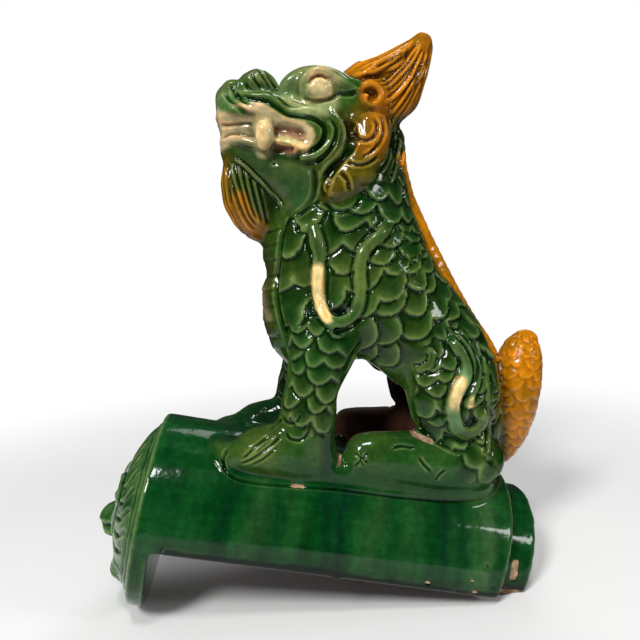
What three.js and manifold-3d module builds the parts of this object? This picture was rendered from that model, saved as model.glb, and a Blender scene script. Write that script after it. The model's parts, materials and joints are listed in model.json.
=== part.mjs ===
// A glazed ridge-tile beast: a half-round roof tile with a round relief end, and a scaled lion-dragon
// seated on it. It is one fired piece. It stands as it does on a table, on the foot of the round end and
// on the worn underside of the tenon, so the tile slopes down to the rear.
// Millimetres, +Z up, +X to the rear, +Y to the beast's right.
import * as THREE from "three";
import { mergeVertices } from "three/addons/utils/BufferGeometryUtils.js";
import Module from "manifold-3d";

// Driving dimensions.
const TILE_RADIUS = 66;
const TILE_LENGTH = 242;
const TILE_WALL = 12;
const SKIRT = 3.3; // straight strip of wall below the tile's axis
const REAR_LEAN = THREE.MathUtils.degToRad(10.3); // the shoulder's top leans back
const PLATE_THICKNESS = 11.5;
const TENON_RADIUS = 54;
const TENON_WALL = 11;
const TENON_LENGTH = 24.4;
const TENON_SKIRT = 10; // before its worn underside is cut to the table
const TENON_FOOT = 2.4; // what is left of that below the axis at the tenon's very end
const TENON_OVERLAP = 1; // how far the tenon's wall runs into the shoulder
const SHOULDER_THICKNESS = 12;
const SLAB_START = 40;
const SLAB_END = 252;
const SLAB_HALF_WIDTH = 40.5;
const SLAB_TOP = 64; // height of the flat plate under the feet, above the tile's axis
const SLAB_BEVEL = 3.5;
const SLAB_CORNER = 14; // radius of its two front corners
const SLAB_DEPTH = 20; // most of this lies inside the tile's wall
const BEAST_SLOPE = THREE.MathUtils.degToRad(15.2); // the beast leans this far back from square on the tile
const AXIS_IN_BEAST = 66.7; // height of the tile's axis, at its front, in the beast's own upright frame
const DOME_FOOT = 2; // how far the relief's foot is sunk in the plate
const ARC_SIDES = 24;

const GLAZE_GREEN = 0x1f6b33;

// The tenon's worn underside lies on the table, with the plate's lower back edge.
const REAR_CORNER = TILE_LENGTH + TENON_LENGTH - TENON_FOOT * Math.tan(REAR_LEAN);
const TILT = Math.atan2(TILE_RADIUS - TENON_FOOT, REAR_CORNER - PLATE_THICKNESS);

const wasm = await Module();
wasm.setup();

/** A closed three.js geometry as a solid that can be joined and cut. */
function solid(geometry) {
  const bare = geometry.clone();
  bare.deleteAttribute("normal");
  bare.deleteAttribute("uv");
  const merged = mergeVertices(bare, 1e-4);
  const mesh = new wasm.Mesh({
    numProp: 3,
    vertProperties: new Float32Array(merged.attributes.position.array),
    triVerts: new Uint32Array(merged.index.array),
  });
  return new wasm.Manifold(mesh);
}

/** A solid as a three.js geometry. */
function geometryOf(body) {
  const mesh = body.getMesh();
  const geometry = new THREE.BufferGeometry();
  geometry.setAttribute("position", new THREE.BufferAttribute(new Float32Array(mesh.vertProperties), 3));
  geometry.setIndex(new THREE.BufferAttribute(new Uint32Array(mesh.triVerts), 1));
  return geometry;
}

/** The union of a list of solids. */
function joined(bodies) {
  return bodies.reduce((whole, body) => whole.add(body));
}

/** A profile drawn across the tile (y, z), run along the tile from start to end; both ends may lean back. */
function alongTile(shape, start, end, startLean = 0, endLean = 0) {
  const geometry = new THREE.ExtrudeGeometry(shape, {
    depth: 1,
    bevelEnabled: false,
    curveSegments: ARC_SIDES,
  });
  const position = geometry.attributes.position;
  for (let i = 0; i < position.count; i += 1) {
    const [across, up, depth] = [position.getX(i), position.getY(i), position.getZ(i)];
    const from = start + up * Math.tan(startLean);
    const to = end + up * Math.tan(endLean);
    position.setXYZ(i, from + (to - from) * depth, across, up);
  }
  return solid(geometry);
}

/** The section of a half-round shell with a straight skirt below its axis. */
function shellSection(radius, wall, skirt) {
  const shape = new THREE.Shape();
  shape.moveTo(radius, -skirt);
  shape.lineTo(radius, 0);
  shape.absarc(0, 0, radius, 0, Math.PI, false);
  shape.lineTo(-radius, -skirt);
  shape.lineTo(wall - radius, -skirt);
  shape.lineTo(wall - radius, 0);
  shape.absarc(0, 0, radius - wall, Math.PI, 0, true);
  shape.lineTo(radius - wall, -skirt);
  shape.closePath();
  return shape;
}

/** The half-round tile: shell, shoulder and the tenon that the next tile covers. */
function tileBody() {
  const shell = alongTile(shellSection(TILE_RADIUS, TILE_WALL, SKIRT), 0, TILE_LENGTH, 0, REAR_LEAN);
  const shoulderWall = TILE_RADIUS - TENON_RADIUS + TENON_WALL;
  const shoulder = alongTile(
    shellSection(TILE_RADIUS, shoulderWall, SKIRT),
    TILE_LENGTH - SHOULDER_THICKNESS,
    TILE_LENGTH,
    REAR_LEAN,
    REAR_LEAN,
  );
  const tenon = alongTile(
    shellSection(TENON_RADIUS, TENON_WALL, TENON_SKIRT),
    TILE_LENGTH - TENON_OVERLAP,
    TILE_LENGTH + TENON_LENGTH,
    REAR_LEAN,
    REAR_LEAN,
  );
  return joined([shell, shoulder, tenon.subtract(belowTable())]);
}

/** Everything under the table that the tile stands on, seen from the tile's own frame. */
function belowTable() {
  const size = 8 * TILE_RADIUS;
  const geometry = new THREE.BoxGeometry(size, size, size);
  geometry.translate(0, 0, -size / 2);
  geometry.rotateY(-TILT);
  geometry.translate(PLATE_THICKNESS, 0, -TILE_RADIUS);
  return solid(geometry);
}

/** A raised form turned about the tile's axis, standing out from the front of the round end. */
function turned(profile) {
  const points = profile.map(([radius, out]) => new THREE.Vector2(radius, out)).reverse();
  const geometry = new THREE.LatheGeometry(points, ARC_SIDES);
  geometry.rotateZ(Math.PI / 2);
  return solid(geometry);
}

/** The full-circle plate at the front. */
function roundPlate() {
  const disc = new THREE.Shape();
  disc.absarc(0, 0, TILE_RADIUS, 0, 2 * Math.PI, false);
  return alongTile(disc, 0, PLATE_THICKNESS);
}

/** The plate under the feet: a rounded oblong let into the top of the tile. */
function footSlab() {
  const plan = new THREE.Shape();
  const half = SLAB_HALF_WIDTH;
  const front = SLAB_START + SLAB_CORNER;
  const side = half - SLAB_CORNER;
  const end = SLAB_END - half;
  plan.moveTo(front, -half);
  plan.lineTo(end, -half);
  plan.absarc(end, 0, half, -Math.PI / 2, Math.PI / 2, false);
  plan.lineTo(front, half);
  plan.absarc(front, side, SLAB_CORNER, Math.PI / 2, Math.PI, false);
  plan.lineTo(SLAB_START, -side);
  plan.absarc(front, -side, SLAB_CORNER, Math.PI, 1.5 * Math.PI, false);
  const geometry = new THREE.ExtrudeGeometry(plan, {
    depth: SLAB_DEPTH - 2 * SLAB_BEVEL,
    bevelSize: SLAB_BEVEL,
    bevelThickness: SLAB_BEVEL,
    bevelSegments: 2,
    curveSegments: 8,
  });
  geometry.translate(0, 0, SLAB_TOP - SLAB_DEPTH + SLAB_BEVEL);
  return solid(geometry);
}

/** Places a solid from the beast's upright frame, whose floor is level, onto the sloping tile. */
function ontoTile(body) {
  const lower = new THREE.Matrix4().makeTranslation(0, 0, -AXIS_IN_BEAST);
  const lean = new THREE.Matrix4().makeRotationY(-BEAST_SLOPE);
  return solid(geometryOf(body).applyMatrix4(lean.multiply(lower)));
}

/**
 * A closed lump that follows a smooth curve. Each station is [x, y, z, depth, width]: the centre of a ring,
 * its half-size in the plane of the bend and its half-size across it. Both ends close in a round cap, and
 * caps says how much of the length each takes.
 */
function lump(stations, { sides = 16, rings = 10, across = [0, 1, 0], caps = [0.25, 0.25] } = {}) {
  const centres = stations.map(([x, y, z]) => new THREE.Vector3(x, y, z));
  const sizes = stations.map(([, , , depth, width]) => new THREE.Vector3(depth, width, 0));
  const spine = new THREE.CatmullRomCurve3(centres, false, "catmullrom");
  const girth = new THREE.CatmullRomCurve3(sizes, false, "catmullrom");
  const geometry = new THREE.SphereGeometry(1, sides, rings);
  const position = geometry.attributes.position;
  const capScale = (part) => (part >= 1 ? 1 : Math.sqrt(Math.max(0, 1 - (1 - part) ** 2)));
  for (let i = 0; i < position.count; i += 1) {
    const [px, py, pz] = [position.getX(i), position.getY(i), position.getZ(i)];
    const along = THREE.MathUtils.clamp((py + 1) / 2, 0, 1);
    const tangent = spine.getTangent(along);
    const side = new THREE.Vector3(...across).projectOnPlane(tangent).normalize();
    const normal = new THREE.Vector3().crossVectors(side, tangent);
    const size = girth.getPoint(along);
    const scale = Math.min(capScale(along / caps[0]), capScale((1 - along) / caps[1]));
    const round = Math.hypot(px, pz) < 1e-6 ? 0 : 1 / Math.hypot(px, pz);
    const point = spine.getPoint(along);
    point.addScaledVector(side, px * round * scale * size.y);
    point.addScaledVector(normal, pz * round * scale * size.x);
    position.setXYZ(i, point.x, point.y, point.z);
  }
  return solid(geometry);
}

/** The same lump on both flanks. */
function pair(stations, options = {}) {
  const across = options.across ?? [0, 1, 0];
  const mirrored = stations.map(([x, y, z, depth, width]) => [x, -y, z, depth, width]);
  const flipped = [across[0], -across[1], across[2]];
  return joined([lump(stations, options), lump(mirrored, { ...options, across: flipped })]);
}

/** A lump on the middle plane; its stations leave out y. */
function central(stations, options = {}) {
  return lump(
    stations.map(([x, z, depth, width]) => [x, 0, z, depth, width]),
    options,
  );
}

/** Trunk: rump, back, breast and neck. */
function trunk() {
  const body = central(
    [
      [236, 66, 26, 34],
      [232, 104, 32, 40],
      [220, 148, 41, 42],
      [193, 182, 46, 43],
      [159, 211, 62, 43],
      [154, 245, 58, 41],
      [156, 278, 46, 37],
      [160, 302, 43, 33],
      [170, 326, 32, 28],
    ],
    { sides: 24, rings: 14, caps: [0.12, 0.14] },
  );
  const breast = central(
    [
      [126, 148, 14, 18],
      [122, 178, 26, 30],
      [120, 212, 28, 31],
      [126, 252, 20, 22],
    ],
    { sides: 16, rings: 8, caps: [0.35, 0.4] },
  );
  return joined([body, breast]);
}

/** Front legs with their paws. */
function frontLegs() {
  const leg = pair(
    [
      [142, 26, 214, 28, 16],
      [133, 31, 182, 26, 17],
      [124, 33, 152, 20, 15],
      [116, 34, 126, 20, 15],
      [112, 34, 92, 24, 15],
    ],
    { sides: 12, rings: 8, caps: [0.2, 0.1] },
  );
  const paw = pair(
    [
      [137, 33, 96, 14, 11],
      [116, 34, 103, 22, 15],
      [93, 35, 109, 19, 16],
      [73, 35, 109, 14, 15],
      [57, 35, 105, 8, 10],
    ],
    { sides: 12, rings: 8, caps: [0.2, 0.3] },
  );
  return joined([leg, paw]);
}

/** Haunches with the long hind feet that lie along the slab. */
function hindLegs() {
  const haunch = pair(
    [
      [207, 27, 190, 18, 12],
      [218, 29, 160, 31, 19],
      [219, 31, 128, 33, 21],
      [220, 31, 98, 27, 18],
    ],
    { sides: 16, rings: 9, caps: [0.3, 0.35] },
  );
  const foot = pair(
    [
      [247, 26, 72, 13, 14],
      [234, 31, 83, 25, 17],
      [206, 33, 88, 24, 17],
      [176, 34, 93, 20, 15],
      [154, 34, 97, 18, 14],
      [139, 34, 98, 12, 11],
    ],
    { sides: 12, rings: 9, caps: [0.16, 0.14] },
  );
  return joined([haunch, foot]);
}

/** Head: skull, muzzle, jaw and jowls. */
function skull() {
  const dome = central(
    [
      [196, 322, 24, 24],
      [172, 325, 34, 31],
      [146, 322, 34, 34],
      [122, 321, 32, 32],
      [100, 329, 23, 26],
      [84, 334, 22, 22],
      [72, 334, 21, 19],
    ],
    { sides: 20, rings: 10, caps: [0.15, 0.06] },
  );
  const jaw = central(
    [
      [150, 283, 27, 30],
      [130, 286, 26, 30],
      [108, 298, 20, 26],
      [88, 311, 14, 21],
      [73, 317, 9, 16],
    ],
    { sides: 16, rings: 8, caps: [0.25, 0.08] },
  );
  return joined([dome, jaw]);
}

/** What stands out on the head: nostrils, brows, eyes, lips, fangs, cheek folds and ears. */
function features() {
  const nostrils = pair(
    [
      [88, 8, 352, 5, 7],
      [97, 8, 355, 8, 8],
      [108, 8, 351, 8, 7],
      [117, 8, 344, 4, 5],
    ],
    { sides: 8, rings: 6 },
  );
  const snoutTip = central(
    [
      [82, 338, 8, 16],
      [83, 351, 7, 15],
      [88, 358, 4, 10],
    ],
    { sides: 8, rings: 5, caps: [0.4, 0.5] },
  );
  const brows = pair(
    [
      [121, 20, 342, 6, 6],
      [132, 22, 348, 8, 8],
      [146, 22, 350, 8, 8],
      [158, 27, 344, 6, 6],
      [166, 31, 338, 3, 3],
    ],
    { sides: 8, rings: 6 },
  );
  const eyes = pair(
    [
      [131, 27, 341, 6, 6],
      [140, 28, 343, 8, 6],
      [149, 28, 343, 6, 5],
    ],
    { sides: 10, rings: 6, caps: [0.5, 0.5] },
  );
  const lips = pair(
    [
      [74, 12, 328, 5, 5],
      [84, 23, 334, 6, 5],
      [104, 27, 333, 6, 5],
      [122, 30, 323, 5, 5],
      [137, 32, 317, 5, 5],
      [131, 31, 307, 5, 5],
      [112, 28, 309, 4, 4],
    ],
    { sides: 6, rings: 11, across: [0.2, 1, 0.2], caps: [0.1, 0.1] },
  );
  const fangs = pair(
    [
      [103, 26, 327, 6, 5],
      [103, 29, 316, 6.5, 5],
      [101, 28, 305, 3.5, 3],
    ],
    { sides: 6, rings: 5, caps: [0.4, 0.5] },
  );
  const cheekFolds = pair(
    [
      [146, 30, 326, 4, 5],
      [156, 33, 315, 5, 6],
      [151, 33, 300, 5, 6],
      [141, 31, 293, 3, 4],
    ],
    { sides: 6, rings: 6 },
  );
  const ears = pair(
    [
      [161, 33, 322, 5, 5],
      [170, 37, 317, 10, 7],
      [170, 38, 303, 11, 7],
      [163, 37, 291, 11, 7],
      [151, 36, 281, 11, 7],
      [141, 34, 272, 5, 5],
    ],
    { sides: 10, rings: 8, caps: [0.15, 0.15] },
  );
  return joined([nostrils, snoutTip, brows, eyes, lips, fangs, cheekFolds, ears]);
}

/** The swept-back mane that rises to a point, with a curl on each side of its root. */
function mane() {
  const sweep = central(
    [
      [158, 332, 27, 25],
      [178, 342, 27, 25],
      [197, 352, 24, 21],
      [210, 367, 15.5, 15],
      [218, 377, 10, 9],
      [222, 387, 6, 5],
    ],
    { sides: 16, rings: 9, caps: [0.2, 0.1] },
  );
  const curl = pair(
    [
      [163, 25, 338, 4, 4],
      [172, 27, 346, 4, 4],
      [183, 26, 343, 4, 4],
      [183, 27, 333, 4, 4],
      [174, 28, 332, 4, 4],
    ],
    { sides: 6, rings: 9, across: [0.1, 1, 0], caps: [0.1, 0.1] },
  );
  return joined([sweep, curl]);
}

/** The fan of beard from the chin down to the breast. */
function beard() {
  return central(
    [
      [84, 314, 9, 14],
      [87, 297, 16, 22],
      [90, 279, 19, 21],
      [95, 262, 15, 16],
      [101, 247, 8, 8],
    ],
    { sides: 14, rings: 8, caps: [0.2, 0.25] },
  );
}

/** The toothed ridge down the spine and the upright tail it runs into. */
function ridgeAndTail() {
  const ridge = central(
    [
      [199, 324, 6, 5],
      [198, 300, 6, 6],
      [202, 275, 6, 6],
      [219, 232, 6, 6],
      [240, 188, 6, 6],
      [260, 150, 6, 6],
      [264, 130, 6, 6],
    ],
    { sides: 6, rings: 10, caps: [0.06, 0.06] },
  );
  const tail = central(
    [
      [262, 66, 6, 8],
      [269, 92, 16.5, 15],
      [276, 120, 19.5, 20],
      [282.5, 147, 17, 18],
      [289.5, 169.5, 12, 10],
    ],
    { sides: 16, rings: 9, caps: [0.2, 0.2] },
  );
  return joined([ridge, tail]);
}

/** A hole of the given outline (x, z) through one flank, from the middle plane out to reach. */
function window(outline, reach) {
  const shape = new THREE.Shape(outline.map(([x, z]) => new THREE.Vector2(x, z)));
  const geometry = new THREE.ExtrudeGeometry(shape, { depth: Math.abs(reach), bevelEnabled: false });
  geometry.rotateX(Math.PI / 2);
  geometry.translate(0, Math.max(reach, 0), 0);
  return solid(geometry);
}

/** The empty space inside the lower body, and the hand-cut windows in both flanks that open it. */
function hollow() {
  const leftWindow = window(
    [
      [161, 163],
      [150, 162],
      [142, 151],
      [137, 142],
      [137, 129],
      [141, 119],
      [160, 113],
      [180, 112],
      [188, 117],
      [187, 131],
      [182, 142],
      [173, 152],
    ],
    -TILE_RADIUS,
  );
  const rightWindow = window(
    [
      [161, 161],
      [150, 159],
      [142, 151],
      [138, 142],
      [138, 129],
      [142, 117],
      [160, 113],
      [178, 112],
      [182, 118],
      [180, 129],
      [177, 140],
      [171, 152],
    ],
    TILE_RADIUS,
  );
  const cavity = central(
    [
      [141, 134, 12, 16],
      [160, 134, 22, 22],
      [195, 128, 30, 28],
      [220, 124, 29, 30],
      [240, 116, 20, 26],
    ],
    { sides: 16, rings: 9, caps: [0.12, 0.2] },
  );
  return joined([leftWindow, rightWindow, cavity]);
}

/** The relief on the round end: a domed mask with a boss for its nose, and brows and jaws round it. */
function endRelief() {
  const dome = turned([
    [0, 22],
    [12, 21.5],
    [24, 19.5],
    [36, 15.5],
    [47, 10.5],
    [55, 5.5],
    [58.5, 0],
    [58.5, -DOME_FOOT],
    [0, -DOME_FOOT],
  ]);
  const boss = lump(
    [
      [-12, 0, -14, 13, 14],
      [-24, 0, -13, 12, 13],
      [-33.5, 0, -13, 8, 8],
    ],
    { sides: 10, rings: 6, caps: [0.1, 0.5] },
  );
  const jaws = lump(
    [
      [-7, -36, -24, 7, 7],
      [-9, -22, -39, 8, 8],
      [-9, 0, -45, 8, 8],
      [-9, 22, -39, 8, 8],
      [-7, 36, -24, 7, 7],
    ],
    { sides: 8, rings: 8, across: [1, 0, 0], caps: [0.15, 0.15] },
  );
  const browRidges = [-1, 1].map((side) =>
    lump(
      [
        [-16, side * 5, 3, 5, 6],
        [-15, side * 16, 11, 6, 7],
        [-10, side * 30, 13, 5, 6],
        [-4, side * 42, 5, 4, 4],
      ],
      { sides: 6, rings: 6, across: [1, 0, 0] },
    ),
  );
  return joined([dome, boss, jaws, ...browRidges]);
}

/** The space under the tile, from behind the round plate to the end given. */
function channel(end) {
  const inner = TILE_RADIUS - TILE_WALL;
  const section = new THREE.Shape();
  section.moveTo(inner, -2 * TILE_RADIUS);
  section.lineTo(inner, 0);
  section.absarc(0, 0, inner, 0, Math.PI, false);
  section.lineTo(-inner, -2 * TILE_RADIUS);
  section.closePath();
  return alongTile(section, PLATE_THICKNESS, end, 0, REAR_LEAN);
}

/** Everything joined, hollowed, and turned to stand on its own footprint. */
function ridgeBeastTile() {
  const tile = joined([tileBody(), roundPlate(), endRelief(), footSlab().subtract(channel(TILE_LENGTH))]);
  const limbs = [trunk(), frontLegs(), hindLegs(), skull(), features(), mane(), beard(), ridgeAndTail()];
  const beast = ontoTile(joined(limbs).subtract(hollow())).subtract(channel(TILE_LENGTH + 2 * TENON_LENGTH));
  const geometry = geometryOf(tile.add(beast));
  geometry.rotateY(TILT);
  geometry.computeBoundingBox();
  const middle = geometry.boundingBox.getCenter(new THREE.Vector3());
  geometry.translate(-middle.x, -middle.y, -geometry.boundingBox.min.z);
  geometry.computeVertexNormals();
  const glaze = new THREE.MeshStandardMaterial({ color: GLAZE_GREEN, roughness: 0.15, metalness: 0 });
  const mesh = new THREE.Mesh(geometry, glaze);
  mesh.name = "ridge_beast_tile";
  return mesh;
}

const group = new THREE.Group();
group.add(ridgeBeastTile());

export default group;
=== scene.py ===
"""Looks of a glazed ridge-tile beast: a half-round roof tile with a scaled lion-dragon seated on it.

The piece is one fired body. Its clay is worked as a potter would: the plain form is smoothed, small parts are
rolled and pressed on, hair, scales and folds are cut into it, and then the glazes are brushed over.
Working lengths are millimetres in the tile's own frame; the finished mesh is in metres in the shared frame.
"""

import json
import logging
import math
from dataclasses import dataclass, field
from enum import Enum

import bpy
import numpy as np
from mathutils import Matrix, Vector
from mathutils.kdtree import KDTree

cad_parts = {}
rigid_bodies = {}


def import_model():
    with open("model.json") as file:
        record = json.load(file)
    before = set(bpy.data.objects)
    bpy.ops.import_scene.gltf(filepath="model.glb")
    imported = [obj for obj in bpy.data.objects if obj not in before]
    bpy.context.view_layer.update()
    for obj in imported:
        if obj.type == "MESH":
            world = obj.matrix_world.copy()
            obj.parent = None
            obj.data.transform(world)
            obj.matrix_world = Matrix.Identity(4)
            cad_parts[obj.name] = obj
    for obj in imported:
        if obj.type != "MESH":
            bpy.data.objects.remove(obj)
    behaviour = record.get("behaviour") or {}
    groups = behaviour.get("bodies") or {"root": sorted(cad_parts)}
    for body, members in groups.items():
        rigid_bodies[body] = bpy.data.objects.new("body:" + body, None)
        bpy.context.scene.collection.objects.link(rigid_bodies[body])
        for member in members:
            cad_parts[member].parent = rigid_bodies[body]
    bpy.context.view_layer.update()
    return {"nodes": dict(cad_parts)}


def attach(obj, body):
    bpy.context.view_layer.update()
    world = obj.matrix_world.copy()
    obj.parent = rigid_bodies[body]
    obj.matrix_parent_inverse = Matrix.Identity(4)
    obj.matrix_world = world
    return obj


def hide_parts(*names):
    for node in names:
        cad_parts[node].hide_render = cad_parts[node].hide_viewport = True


log = logging.getLogger("ridge_beast")

MM = 0.001
TILE_RADIUS = 66.0

# Millimetres: further off than the edge of any scale that matters.
FAR_AWAY = 9.0

NODE = "ridge_beast_tile"

Path2 = tuple[tuple[float, float], ...]


# ---------------------------------------------------------------------------------------------------------
# Frames


@dataclass(frozen=True)
class Placement:
    """Where the tile and the upright beast stand. Millimetres and radians."""

    tilt: float = math.radians(14.033)
    slope: float = math.radians(15.2)
    axis_x: float = -130.82
    axis_z: float = 66.82
    axis_in_beast: float = 66.7

    def tile_matrix(self) -> Matrix:
        """The matrix from the shared frame in metres to the tile's frame in millimetres."""
        shift = Matrix.Translation((-self.axis_x, 0, -self.axis_z))
        return Matrix.Rotation(-self.tilt, 4, "Y") @ shift @ Matrix.Scale(1 / MM, 4)

    def beast_matrix(self) -> Matrix:
        """The matrix from the tile's frame to the beast's upright frame, both in millimetres."""
        lift = Matrix.Translation((0, 0, self.axis_in_beast))
        return lift @ Matrix.Rotation(self.slope, 4, "Y")


PLACE = Placement()


def moved(points: np.ndarray, matrix: Matrix) -> np.ndarray:
    """Points taken through a 4 by 4 matrix.

    Args:
        points: rows of x, y, z.
        matrix: the change of frame.

    Returns:
        The new rows.
    """
    table = np.array(matrix)
    return points @ table[:3, :3].T + table[:3, 3]


def smooth_step(value: np.ndarray, low: float, high: float) -> np.ndarray:
    """Zero at low, one at high, and an even curve between them."""
    part = np.clip((value - low) / (high - low), 0.0, 1.0)
    return part * part * (3 - 2 * part)


def flow(points: Path2, steps: int = 6) -> np.ndarray:
    """A smooth line through the points given.

    Args:
        points: the points that the line passes through.
        steps: short straight pieces between one point and the next.

    Returns:
        The line's points, one row each.
    """
    knots = np.array(points, float)
    knots = np.vstack([2 * knots[0] - knots[1], knots, 2 * knots[-1] - knots[-2]])
    line = []
    for before, start, end, after in zip(knots, knots[1:], knots[2:], knots[3:]):
        for step in range(steps):
            part = step / steps
            line.append(
                0.5
                * (
                    2 * start
                    + (end - before) * part
                    + (2 * before - 5 * start + 4 * end - after) * part**2
                    + (3 * start - before - 3 * end + after) * part**3
                )
            )
    line.append(knots[-2])
    return np.array(line)


def along_line(where: np.ndarray, line: np.ndarray) -> tuple[np.ndarray, np.ndarray, np.ndarray]:
    """How points on a flat map lie to a line.

    Args:
        where: the points, one row each.
        line: the line's points.

    Returns:
        The distance to the line, the length along it, and the side: positive to its left.
    """
    best = np.full(len(where), 1e9)
    length = np.zeros(len(where))
    side = np.zeros(len(where))
    travelled = 0.0
    for start, end in zip(line, line[1:]):
        step = end - start
        size = float(np.hypot(*step)) + 1e-9
        part = np.clip(((where - start) @ step) / size**2, 0, 1)
        away = where - start - part[:, None] * step
        distance = np.hypot(away[:, 0], away[:, 1])
        nearer = distance < best
        best[nearer] = distance[nearer]
        length[nearer] = travelled + part[nearer] * size
        turn = step[0] * away[:, 1] - step[1] * away[:, 0]
        side[nearer] = turn[nearer] / size
        travelled += size
    return best, length, side


def inside_outline(where: np.ndarray, outline: Path2) -> np.ndarray:
    """The distance inside a closed outline on a flat map, negative outside.

    Args:
        where: the points, one row each.
        outline: its corners.

    Returns:
        The signed distances.
    """
    corners = np.array(outline, float)
    closed = np.vstack([corners, corners[:1]])
    distance = along_line(where, closed)[0]
    crossings = np.zeros(len(where), int)
    for (x0, y0), (x1, y1) in zip(closed, closed[1:]):
        spans = (y0 > where[:, 1]) != (y1 > where[:, 1])
        cut = x0 + (where[:, 1] - y0) * (x1 - x0) / (y1 - y0 if y1 != y0 else 1e-9)
        crossings += spans & (where[:, 0] < cut)
    return np.where(crossings % 2 == 1, distance, -distance)


# ---------------------------------------------------------------------------------------------------------
# Clay


class Map(Enum):
    """The flat map on which a line is drawn before it is cut into the clay."""

    FLANK = "beast, from the side"
    CHEST = "beast, from the front"
    CROWN = "beast, from above"
    BACK = "beast, from behind"
    DISC = "tile, from the front"
    BARREL = "tile, unrolled from its crown"


@dataclass
class Surface:
    """The clay's points and normals, in the tile's frame, with the maps made from them."""

    points: np.ndarray
    normals: np.ndarray
    maps: dict[Map, tuple[np.ndarray, np.ndarray]] = field(default_factory=dict)

    def __post_init__(self) -> None:
        """Prepares the beast's own frame and the maps."""
        beast = PLACE.beast_matrix()
        self.beast = moved(self.points, beast)
        self.facing = self.normals @ np.array(beast)[:3, :3].T
        across = np.abs(self.beast[:, 1])
        sway = np.where(self.beast[:, 1] > 0, 1.0, 0.0)
        x = self.beast[:, 0] + sway * 0.9 * np.sin(self.beast[:, 2] / 19)
        z = self.beast[:, 2] + sway * 0.9 * np.sin(self.beast[:, 0] / 23)
        on_side = smooth_step(np.abs(self.facing[:, 1]), 0.12, 0.4)
        self.across = across
        self.maps[Map.FLANK] = (np.column_stack([x, z]), on_side)
        self.maps[Map.CHEST] = (np.column_stack([across, z]), smooth_step(-self.facing[:, 0], 0.1, 0.45))
        self.maps[Map.BACK] = (np.column_stack([across, z]), smooth_step(self.facing[:, 0], 0.1, 0.45))
        self.maps[Map.CROWN] = (np.column_stack([x, across]), smooth_step(self.facing[:, 2], 0.1, 0.45))
        along, side, height = self.points[:, 0], np.abs(self.points[:, 1]), self.points[:, 2]
        self.reach = np.hypot(side, height)
        front = (1 - smooth_step(along, 30, 38)) * (1 - smooth_step(height, 78, 92))
        self.on_tile = np.maximum(1 - smooth_step(self.reach, 66.6, 70.5), front)
        self.maps[Map.DISC] = (np.column_stack([side, height]),
                               smooth_step(-self.normals[:, 0], 0.1, 0.4) * front)
        turn = np.arctan2(side, height) * TILE_RADIUS
        outer = smooth_step(self.reach, 50, 51) * (1 - smooth_step(self.reach, 68.5, 71))
        outer *= smooth_step(self.normals[:, 1] * self.points[:, 1] + self.normals[:, 2] * height, 10, 30)
        self.maps[Map.BARREL] = (np.column_stack([along, turn]), outer)


@dataclass(frozen=True)
class Cut:
    """A line worked into the clay.

    Width is its half-width. It is raised where height is positive and cut where it is negative. It reaches
    clay from near to far off the middle plane. It fades in over start and out over end, as parts of its
    length, and a raised line has a groove of depth border at its foot.
    """

    points: Path2
    width: float
    height: float
    where: Map = Map.FLANK
    near: float = 8.0
    far: float = 200.0
    start: float = 0.15
    end: float = 0.15
    border: float = 0.0

    def near_points(self, surface: Surface) -> tuple[np.ndarray, np.ndarray, np.ndarray]:
        """The points that the line reaches, their distance as a part of its width, and its strength there.

        Args:
            surface: the clay.

        Returns:
            The points' numbers, and the distance and strength at each.
        """
        place, faces = surface.maps[self.where]
        line = flow(self.points)
        reach = self.width * 3.2 + 1
        low, high = line.min(0) - reach, line.max(0) + reach
        chosen = np.all((place > low) & (place < high), axis=1) & (faces > 0)
        chosen &= (surface.across > self.near) & (surface.across < self.far)
        chosen = np.flatnonzero(chosen)
        if not len(chosen):
            log.warning("a line starting at %s touches no clay", self.points[0])
            return chosen, np.zeros(0), np.zeros(0)
        distance, length, _side = along_line(place[chosen], line)
        total = length.max() + 1e-9
        taper = smooth_step(length, 0, max(self.start * total, 1e-6))
        taper *= smooth_step(total - length, 0, max(self.end * total, 1e-6))
        return chosen, distance / self.width, taper * faces[chosen]

    def lift(self, surface: Surface) -> np.ndarray:
        """How far the clay moves outwards, in millimetres, at each point.

        Args:
            surface: the clay.

        Returns:
            The lift at each point.
        """
        lift = np.zeros(len(surface.points))
        chosen, part, strength = self.near_points(surface)
        if self.height > 0:
            shape = np.clip(1 - part**2, 0, 1) ** 0.6
            rim = np.exp(-(((part - 1.25) / 0.3) ** 2))
            amount = self.height * shape - self.border * rim
        else:
            burr = 0.22 * self.height * np.exp(-(((part - 1.9) / 0.6) ** 2))
            amount = self.height * np.exp(-(part**2)) - burr
        lift[chosen] = amount * strength
        return lift

    def edges(self, surface: Surface) -> tuple[np.ndarray, np.ndarray]:
        """Where a raised line's foot is darkened, glaze pooling with painted shade, and its edge paled, thin
        glaze with painted highlight.

        Args:
            surface: the clay.

        Returns:
            The darkening, glaze pooling with painted shade, and the paling, thin glaze with painted
            highlight, at each point, from 0 to 1.
        """
        shade, rim = np.zeros(len(surface.points)), np.zeros(len(surface.points))
        chosen, part, strength = self.near_points(surface)
        shade[chosen] = 0.9 * strength * np.exp(-(((part - 1.35) / 0.3) ** 2))
        rim[chosen] = 0.8 * strength * np.exp(-(((part - 0.78) / 0.2) ** 2))
        return shade, rim


@dataclass(frozen=True)
class Dab:
    """A round dent or bump. Height is raised where positive, pressed in where negative."""

    centre: tuple[float, float]
    radius: float
    height: float
    where: Map = Map.FLANK
    near: float = 8.0

    def lift(self, surface: Surface) -> np.ndarray:
        """How far the clay moves outwards, in millimetres, at each point.

        Args:
            surface: the clay.

        Returns:
            The lift at each point.
        """
        place, faces = surface.maps[self.where]
        distance = np.hypot(*(place - np.array(self.centre)).T) / self.radius
        return self.height * np.exp(-(distance**2)) * faces * (surface.across > self.near)


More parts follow.
